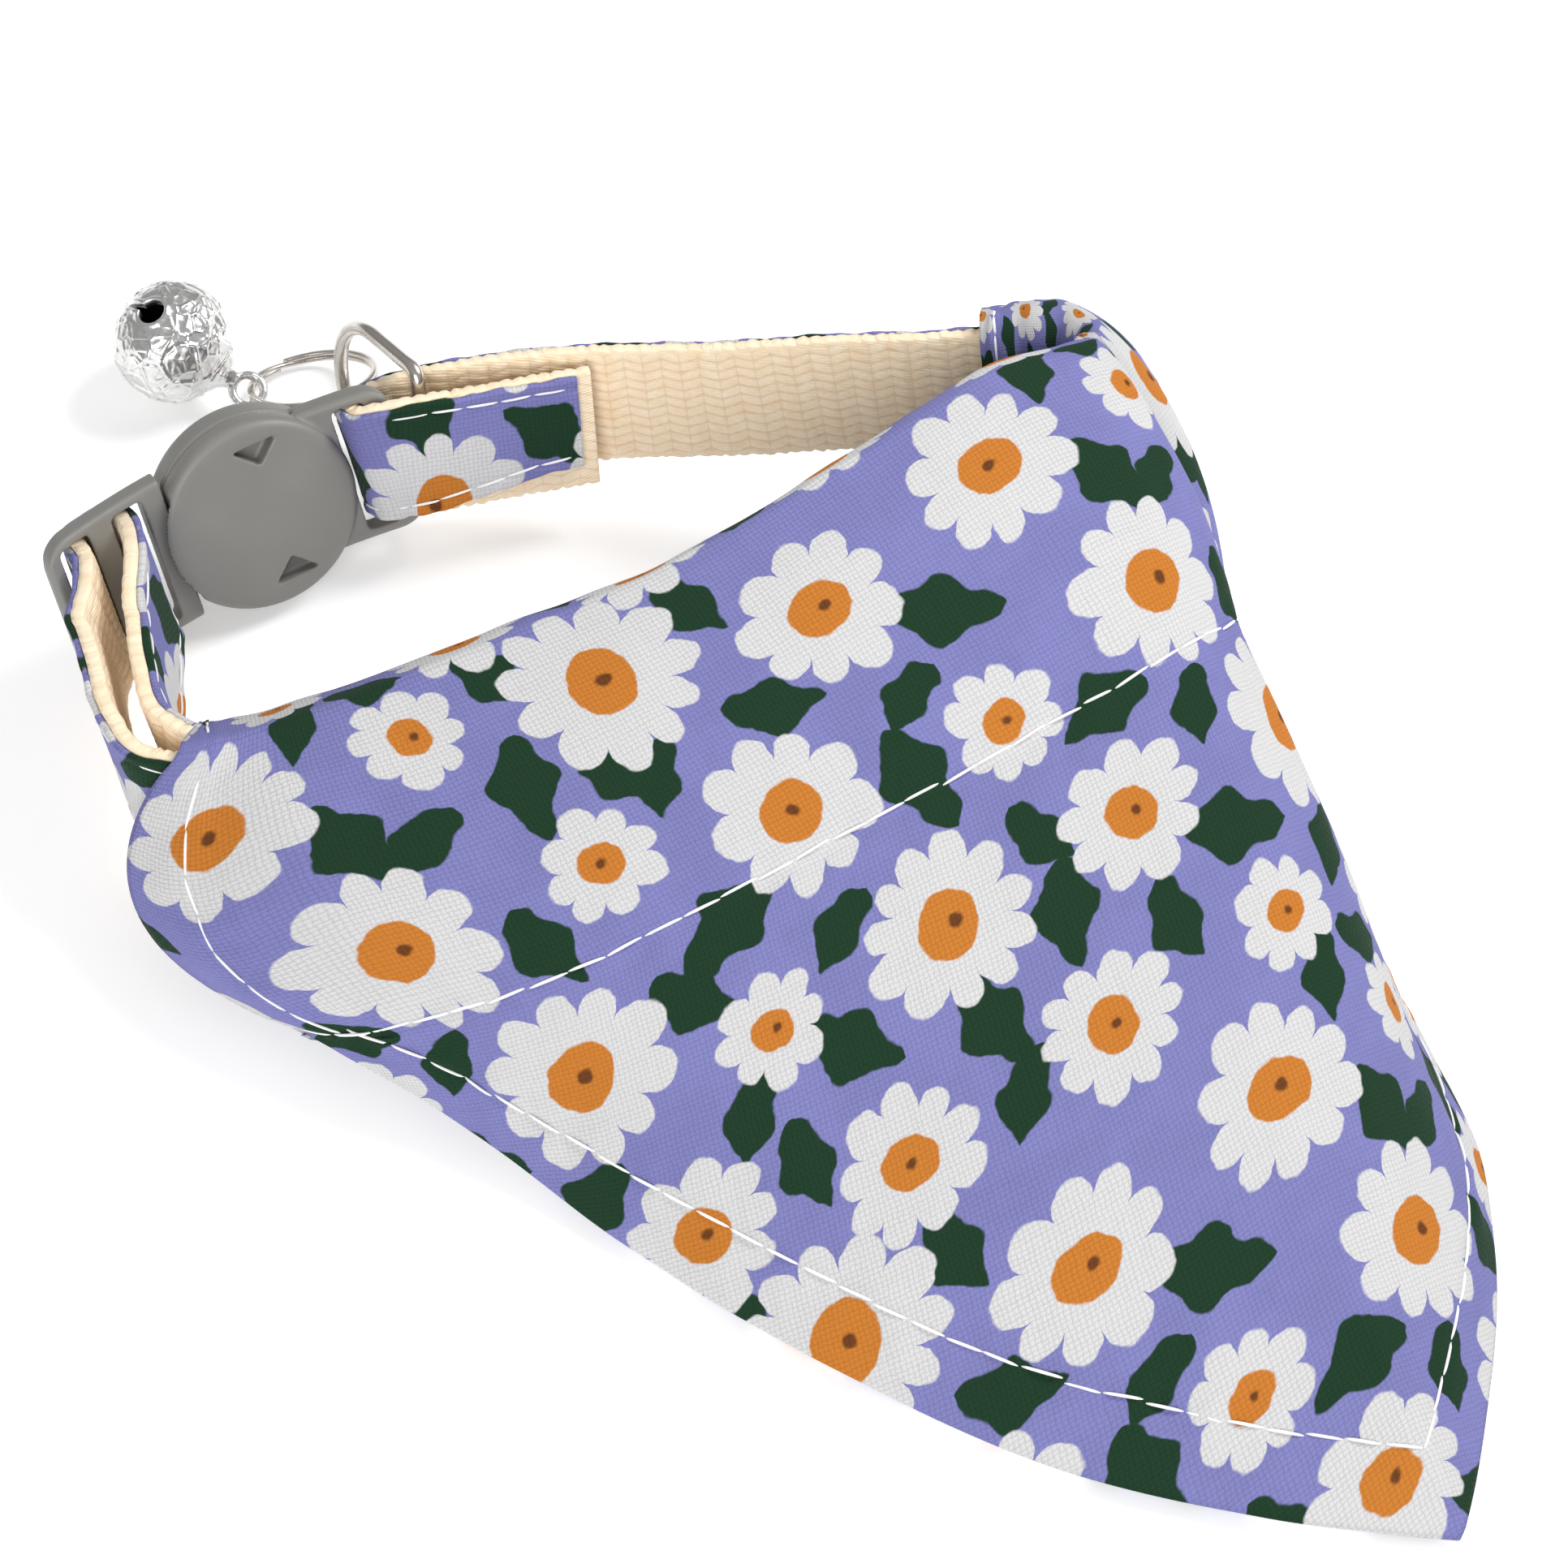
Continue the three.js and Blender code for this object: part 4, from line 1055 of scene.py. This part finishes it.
DISC_HALF = 2.35
WING_HALF_THICKNESS = 1.0
WING_HALF_HEIGHT = 6.25
WING_BEND_RADIUS = 42.0
SLOT_HALF_HEIGHT = 5.45
PLASTIC_VOXEL = 0.135


def at_height(outline, z):
    return np.column_stack([outline, np.full(len(outline), z)])


def lathe(name, profile, segments, place):
    """A turned solid; the profile of radii and heights runs from axis to axis."""
    rings = np.array([at_height(circle(r, segments), z) for r, z in profile])
    return tube(name, place(rings), grid_faces(len(profile), segments, False, True))


def prism(name, outline, reach, place, turn=0.0):
    """A straight prism between two heights, turned off its axis along the first direction."""
    rings = np.array([at_height(outline, z) for z in reach])
    c, s = math.cos(turn), math.sin(turn)
    return tube(name, place(rings @ np.array([[c, 0, s], [0, 1, 0], [-s, 0, c]])))


def rounded_outline(half_a, half_b, corner, steps=5):
    turn = np.linspace(0, math.pi / 2, steps)
    quarter = np.stack([half_a - corner + corner * np.cos(turn),
                        half_b - corner + corner * np.sin(turn)], axis=-1)
    flips = ((1, 1), (-1, 1), (-1, -1), (1, -1))
    return np.vstack([(quarter[::-1] if k % 2 else quarter) * flip for k, flip in enumerate(flips)])


def box_prism(a0, a1, half_b, *reach):
    outline = rounded_outline((a1 - a0) / 2, half_b, 0.5) + np.array([(a0 + a1) / 2, 0])
    return prism("box", outline, reach, in_buckle)


def wing(name, start, end, corner):
    """A curved plate with rounded edges and rounded corners at its end."""
    share = np.concatenate([np.linspace(0, 0.8, 16), 1 - 0.2 * np.linspace(1, 0, 14)[1:] ** 2])
    rings = []
    for along in start + (end - start) * share:
        left = abs(end - along)
        past = max(0, corner - left)
        inset = corner - math.sqrt(max(0, corner ** 2 - past ** 2))
        thin = 1 - 0.45 * math.exp(-(left / 0.28) ** 2)
        lift = WING_BEND_RADIUS - math.sqrt(WING_BEND_RADIUS ** 2 - along * along)
        outline = rounded_outline(WING_HALF_HEIGHT - inset * 0.8, WING_HALF_THICKNESS * thin, 0.45)
        rings.append(np.column_stack([np.full(len(outline), along), outline + (0, lift)]))
    return tube(name, in_buckle(np.array(rings)))


def carve(body, cutters):
    for cutter in cutters:
        cut = body.modifiers.new("cut", "BOOLEAN")
        cut.operation, cut.solver, cut.object = "DIFFERENCE", "EXACT", cutter
        bake(body)
        bpy.data.objects.remove(cutter)
    return body


def drop_crumbs(obj):
    """Keeps the main body of a mesh, without the crumbs that a cut has left beside it."""
    with mesh_edit(obj) as work:
        unseen, islands = set(work.verts), []
        for first in work.verts:
            island, front = [], [first]
            while front:
                vert = front.pop()
                if vert in unseen:
                    unseen.remove(vert)
                    island.append(vert)
                    front += [edge.other_vert(vert) for edge in vert.link_edges]
            if island:
                islands.append(island)
        main = set(max(islands, key=len))
        crumbs = [vert for vert in work.verts if vert not in main]
        bmesh.ops.delete(work, geom=crumbs, context="VERTS")
    return obj


def mould(body, voxel, smooth_steps):
    """Turns joined solids into one skin with the soft edges of a moulding."""
    skin = body.modifiers.new("skin", "REMESH")
    skin.mode, skin.voxel_size, skin.use_smooth_shade = "VOXEL", voxel * MM, True
    drop_crumbs(bake(body))
    soft = body.modifiers.new("soft", "SMOOTH")
    soft.factor, soft.iterations = 0.5, smooth_steps
    bake(body)
    body.data.shade_smooth()
    return body


DISC_PROFILE = [(0, DISC_HALF), (6.9, DISC_HALF), (7.45, 2.28), (7.8, 2.02), (7.97, 1.6),
                (8.0, 1.1), (8.0, 0.62), (7.72, 0.5), (7.72, 0.22), (8.0, 0.1), (8.0, -1.3),
                (7.9, -1.85), (7.55, -2.22), (7.0, -DISC_HALF), (0, -DISC_HALF)]
WINDOW = np.array([(-0.75, 6.05), (3.05, 6.05), (1.15, 4.15)])


def build_housing():
    plate = carve(wing("housing_wing", 5.2, 12.3, 2.2),
                  [box_prism(7.75, 10.35, SLOT_HALF_HEIGHT, -3, 7)])
    cutters = [prism("window", WINDOW * (1, side), (1.1, 4), in_buckle) for side in (1, -1)]
    disc = carve(lathe("disc", DISC_PROFILE, 128, in_buckle),
                 [*cutters, box_prism(-9, -6.3, 6.5, -1.05, 2.0)])
    body = mould(join([disc, plate], "buckle_housing_shell"), PLASTIC_VOXEL, 4)
    return finish_piece(body, PLASTIC, "buckle_housing", "buckle_housing")


def build_insert():
    slots = [box_prism(a0, a1, SLOT_HALF_HEIGHT, -3, 8) for a0, a1 in ((-11.2, -8.4), (-16.05, -13.25))]
    body = carve(wing("buckle_insert_frame", -6.6, -17.4, 2.4), slots)
    return finish_piece(mould(body, PLASTIC_VOXEL, 4), PLASTIC, "buckle_insert", "buckle_insert")


# ---------- metal

BAR_CENTRE = in_buckle([(13.9, 0, 2.2)])[0]
BAR_TILT, BAR_TIP, BOW_SWING = (math.radians(a) for a in (5, 10, 7))
BAR_ALONG = unit(RISE * math.cos(BAR_TILT) * math.cos(BAR_TIP) + FACE * math.sin(BAR_TILT)
                 + RUN * math.sin(BAR_TIP))
BOW_OUT = square_to(-FACE * math.cos(BOW_SWING) - RUN * math.sin(BOW_SWING), BAR_ALONG)
D_HALF_WIDTH, D_LEG, D_WIRE, D_CORNER = 6.3, 7.0, 1.15, 1.0


def build_d_ring():
    angle, turn = np.linspace(0, math.pi, 73), np.linspace(0, math.pi / 2, 9)
    bow = np.column_stack([D_HALF_WIDTH * np.cos(angle), D_LEG + D_HALF_WIDTH * np.sin(angle)])
    leg = np.linspace(D_LEG, D_CORNER, 8)[1:-1]
    half_bar = D_HALF_WIDTH - D_CORNER
    side = np.vstack([np.column_stack([np.full(len(leg), D_HALF_WIDTH), leg]),
                      np.column_stack([half_bar + D_CORNER * np.cos(turn),
                                       D_CORNER - D_CORNER * np.sin(turn)])])
    bar = np.column_stack([np.linspace(-1, 1, 15)[1:-1] * half_bar, np.zeros(13)])
    line = np.vstack([bow, side * (-1, 1), bar, side[::-1]])
    points = BAR_CENTRE + line[:, :1] * BAR_ALONG + line[:, 1:] * BOW_OUT
    run = unit(np.roll(points, -1, axis=0) - np.roll(points, 1, axis=0))
    normal = np.broadcast_to(unit(np.cross(BAR_ALONG, BOW_OUT)), points.shape)
    obj = sweep("d_ring_wire", points, normal, unit(np.cross(run, normal)), circle(D_WIRE / 2, 18), True)
    return finish_piece(obj, NICKEL, "d_ring", "d_ring")


SPLIT_SIDE = unit([0.98, 0.1, 0.12])
SPLIT_BACK = square_to([0, 0.9, -0.44], SPLIT_SIDE)
SPLIT_RADIUS, SPLIT_WIRE, SPLIT_START = 5.0, 0.42, 2.2


def build_split_ring():
    """Two close turns of wire, which step past each other where the coil ends."""
    turn = np.linspace(0, 4 * math.pi - 0.12, 240)
    lift = (smooth_share(turn - 2 * math.pi + 0.5) - 0.5) * SPLIT_WIRE * 0.98
    normal = np.cross(SPLIT_SIDE, SPLIT_BACK)
    angle = (turn + SPLIT_START)[:, None]
    radial = np.cos(angle) * SPLIT_SIDE + np.sin(angle) * SPLIT_BACK
    points = RING_CENTRE + radial * SPLIT_RADIUS + lift[:, None] * normal
    flat = rounded_outline(SPLIT_WIRE / 2 + 0.05, SPLIT_WIRE / 2, 0.16, 4)
    obj = sweep("split_ring_coil", points, radial, np.broadcast_to(normal, points.shape), flat)
    return finish_piece(obj, NICKEL, "split_ring", "split_ring")


BELL_AXIS = unit([0.84, -0.45, -0.31])
EYE_LINE = square_to([0.45, 0.8, 0.3], BELL_AXIS)
EYE_SIDE = np.cross(BELL_AXIS, EYE_LINE)
SLIT_SPIN = math.radians(89)
SLIT_LINE = EYE_LINE * math.cos(SLIT_SPIN) + EYE_SIDE * math.sin(SLIT_SPIN)
SLIT_SIDE = np.cross(BELL_AXIS, SLIT_LINE)
SLIT_TURN = math.radians(62)     # from the bell's axis to each round hole
SLIT_WIDTH, HOLE_RADIUS = 0.62, 1.1
EYE_RADIUS, EYE_WIRE, EYE_OFFSET = 1.25, 0.7, 7.1
COLLAR_PROFILE = [(0, 4.0), (2.0, 4.2), (1.75, 4.62), (1.2, 4.95), (0.85, 5.4), (0.72, 5.9), (0, 6.0)]


def in_bell(points):
    return np.atleast_2d(points) @ np.stack([SLIT_LINE, SLIT_SIDE, BELL_AXIS]) + BELL_CENTRE


def ball_points(level):
    work = bmesh.new()
    bmesh.ops.create_icosphere(work, subdivisions=level, radius=1.0)
    points = unit(np.array([v.co[:] for v in work.verts]))
    faces = [tuple(v.index for v in f.verts) for f in work.faces]
    work.free()
    return points, faces


def opening_distance(p):
    """How far points on the ball are from the rim of the slit and its two holes."""
    side = np.where(p[:, 0] < 0, -1, 1)[:, None]
    hole = BELL_RADIUS * np.array([math.sin(SLIT_TURN), 0, -math.cos(SLIT_TURN)])
    holes = np.linalg.norm(p * np.hstack([side, side * 0 + 1, side * 0 + 1]) - hole, axis=1)
    between = (p[:, 2] < hole[2])
    slot = np.where(between, np.abs(p[:, 1]) - SLIT_WIDTH / 2, 9.0)
    return np.minimum(slot, holes - HOLE_RADIUS)


def crushed(p):
    """Height of the foil-like dents over the ball: flat facets with raised folds between."""
    height = np.zeros(len(p))
    for count, depth in ((60, 0.2), (220, 0.12)):
        seeds = unit(rng.normal(0, 1, (count, 3)))
        level = rng.uniform(-1, 1, count)
        dots = p @ seeds.T
        order = np.argsort(-dots, axis=1)[:, :2]
        near = np.take_along_axis(dots, order, axis=1)
        gap = np.arccos(np.clip(near[:, 1], -1, 1)) - np.arccos(np.clip(near[:, 0], -1, 1))
        width = 2.2 / math.sqrt(count)
        fold = np.exp(-(gap / (0.22 * width)) ** 2)
        height += depth * (0.55 * fold + 0.22 * level[order[:, 0]] * np.clip(gap / (0.3 * width), 0, 1))
    return height


def build_bell():
    unit_ball, faces = ball_points(7)
    distance = opening_distance(unit_ball * BELL_RADIUS)
    calm = np.clip((distance - 0.1) / 0.9, 0, 1) * np.clip((1.25 - unit_ball[:, 2]) / 0.4, 0, 1)
    lip = 0.16 * np.exp(-((distance - 0.18) / 0.24) ** 2)
    radius = BELL_RADIUS - 0.12 + crushed(unit_ball) * calm + lip
    ball = make_object("bell_ball", in_bell(unit_ball * radius[:, None]), faces)
    inner, inner_faces = ball_points(5)
    slit = rounded_outline(BELL_RADIUS * math.sin(SLIT_TURN), SLIT_WIDTH / 2, 0.05, 2)
    cutters = [make_object("hollow", in_bell(inner * (BELL_RADIUS - 0.3 - BELL_WALL)), inner_faces),
               prism("slit", slit, (-7.0, -1.8), in_bell)]
    for side in (-1, 1):
        cutters.append(prism("hole", circle(HOLE_RADIUS, 40), (-7.0, -3.4), in_bell, side * SLIT_TURN))
    parts = [carve(ball, cutters), lathe("collar", COLLAR_PROFILE, 40, in_bell), bell_eye()]
    return finish_piece(join(parts, "bell_ball"), SILVER, "bell", "bell")


def bell_eye():
    angle = np.linspace(0, 2 * math.pi, 48, endpoint=False)
    radial = np.cos(angle)[:, None] * EYE_LINE + np.sin(angle)[:, None] * BELL_AXIS
    points = BELL_CENTRE + BELL_AXIS * EYE_OFFSET + radial * EYE_RADIUS
    side = np.broadcast_to(EYE_SIDE, points.shape)
    return sweep("eye", points, radial, side, circle(EYE_WIRE / 2, 14), True)


# ---------- stage

FLOOR_HALF, FLOOR_STEPS, FLOOR_GLOW = 900.0, 24, 0.27
SKY_STRENGTH = 0.42


def build_floor():
    """A wide pale sheet of board under the collar."""
    line = np.linspace(-FLOOR_HALF, FLOOR_HALF, FLOOR_STEPS)
    x, y = np.meshgrid(line, line)
    z = np.full(x.size, CAD_BOX[0][2] / MM - 0.02)
    points = np.column_stack([x.ravel(), y.ravel(), z]) - LAYOUT_ORIGIN
    floor = make_object("studio_floor", points, grid_faces(FLOOR_STEPS, FLOOR_STEPS))
    material, g, shader = new_material("white board", 0.7)
    tone = g.noise(g.coordinate(), 30.0)
    g.set(shader["Base Color"], g.mix(tone, (0.93,) * 3, (0.96,) * 3))
    g.set(shader["Emission Color"], (1.0,) * 3)
    g.set(shader["Emission Strength"], FLOOR_GLOW)
    floor.data.materials.append(material)


def area_light(name, place, target, size, power):
    data = bpy.data.lights.new(name, "AREA")
    data.shape, data.size, data.energy = "DISK", size, power
    light = bpy.data.objects.new(name, data)
    light.location = place
    light.rotation_euler = (Vector(target) - Vector(place)).to_track_quat("-Z", "Y").to_euler()
    bpy.context.collection.objects.link(light)


def build_lights():
    world = bpy.data.worlds.new("studio")
    world.use_nodes = True
    g = Graph(world.node_tree)
    background = world.node_tree.nodes["Background"].inputs
    _, _, height = g.split(g.coordinate("Generated"))
    g.set(background["Color"], g.mix(g.step(height, -0.05, 0.55), (0.42,) * 3, (1.0,) * 3))
    g.set(background["Strength"], SKY_STRENGTH)
    bpy.context.scene.world = world
    area_light("key", (0.2, 0.16, 0.28), (0, -0.01, 0.01), 0.2, 1.15)
    area_light("front", (-0.1, -0.58, 0.36), (0, 0.01, 0.01), 0.5, 3.7)


CAMERA_ELEVATION = math.radians(54)
CAMERA_DISTANCE = 420.0
PHOTO_SCALE = 16.6       # photo pixels in a millimetre at the camera's target
PHOTO_SIZE = 1932
CAMERA_TARGET = np.array([0.0, -10.0, 8.0])


def build_camera():
    back = np.array([0, -math.cos(CAMERA_ELEVATION), math.sin(CAMERA_ELEVATION)])
    data = bpy.data.cameras.new("photo_camera")
    data.angle = 2 * math.atan(PHOTO_SIZE / 2 / (PHOTO_SCALE * CAMERA_DISTANCE))
    data.clip_start, data.clip_end = 0.01, 10.0
    camera = bpy.data.objects.new("photo_camera", data)
    camera.location = to_frame(CAMERA_TARGET + back * CAMERA_DISTANCE)
    camera.rotation_euler = Vector(-back).to_track_quat("-Z", "Y").to_euler()
    bpy.context.collection.objects.link(camera)
    bpy.context.scene.camera = camera


# ---------- assembly

build_camera()
build_lights()
build_floor()
cloth = build_cloth()
hems = build_hems()
cloth_stitching = build_cloth_stitching()
build_webbing()
build_facing()
build_facing_stitching()
build_housing()
build_insert()
build_d_ring()
build_split_ring()
build_bell()

bpy.context.scene.view_settings.view_transform = "Standard"
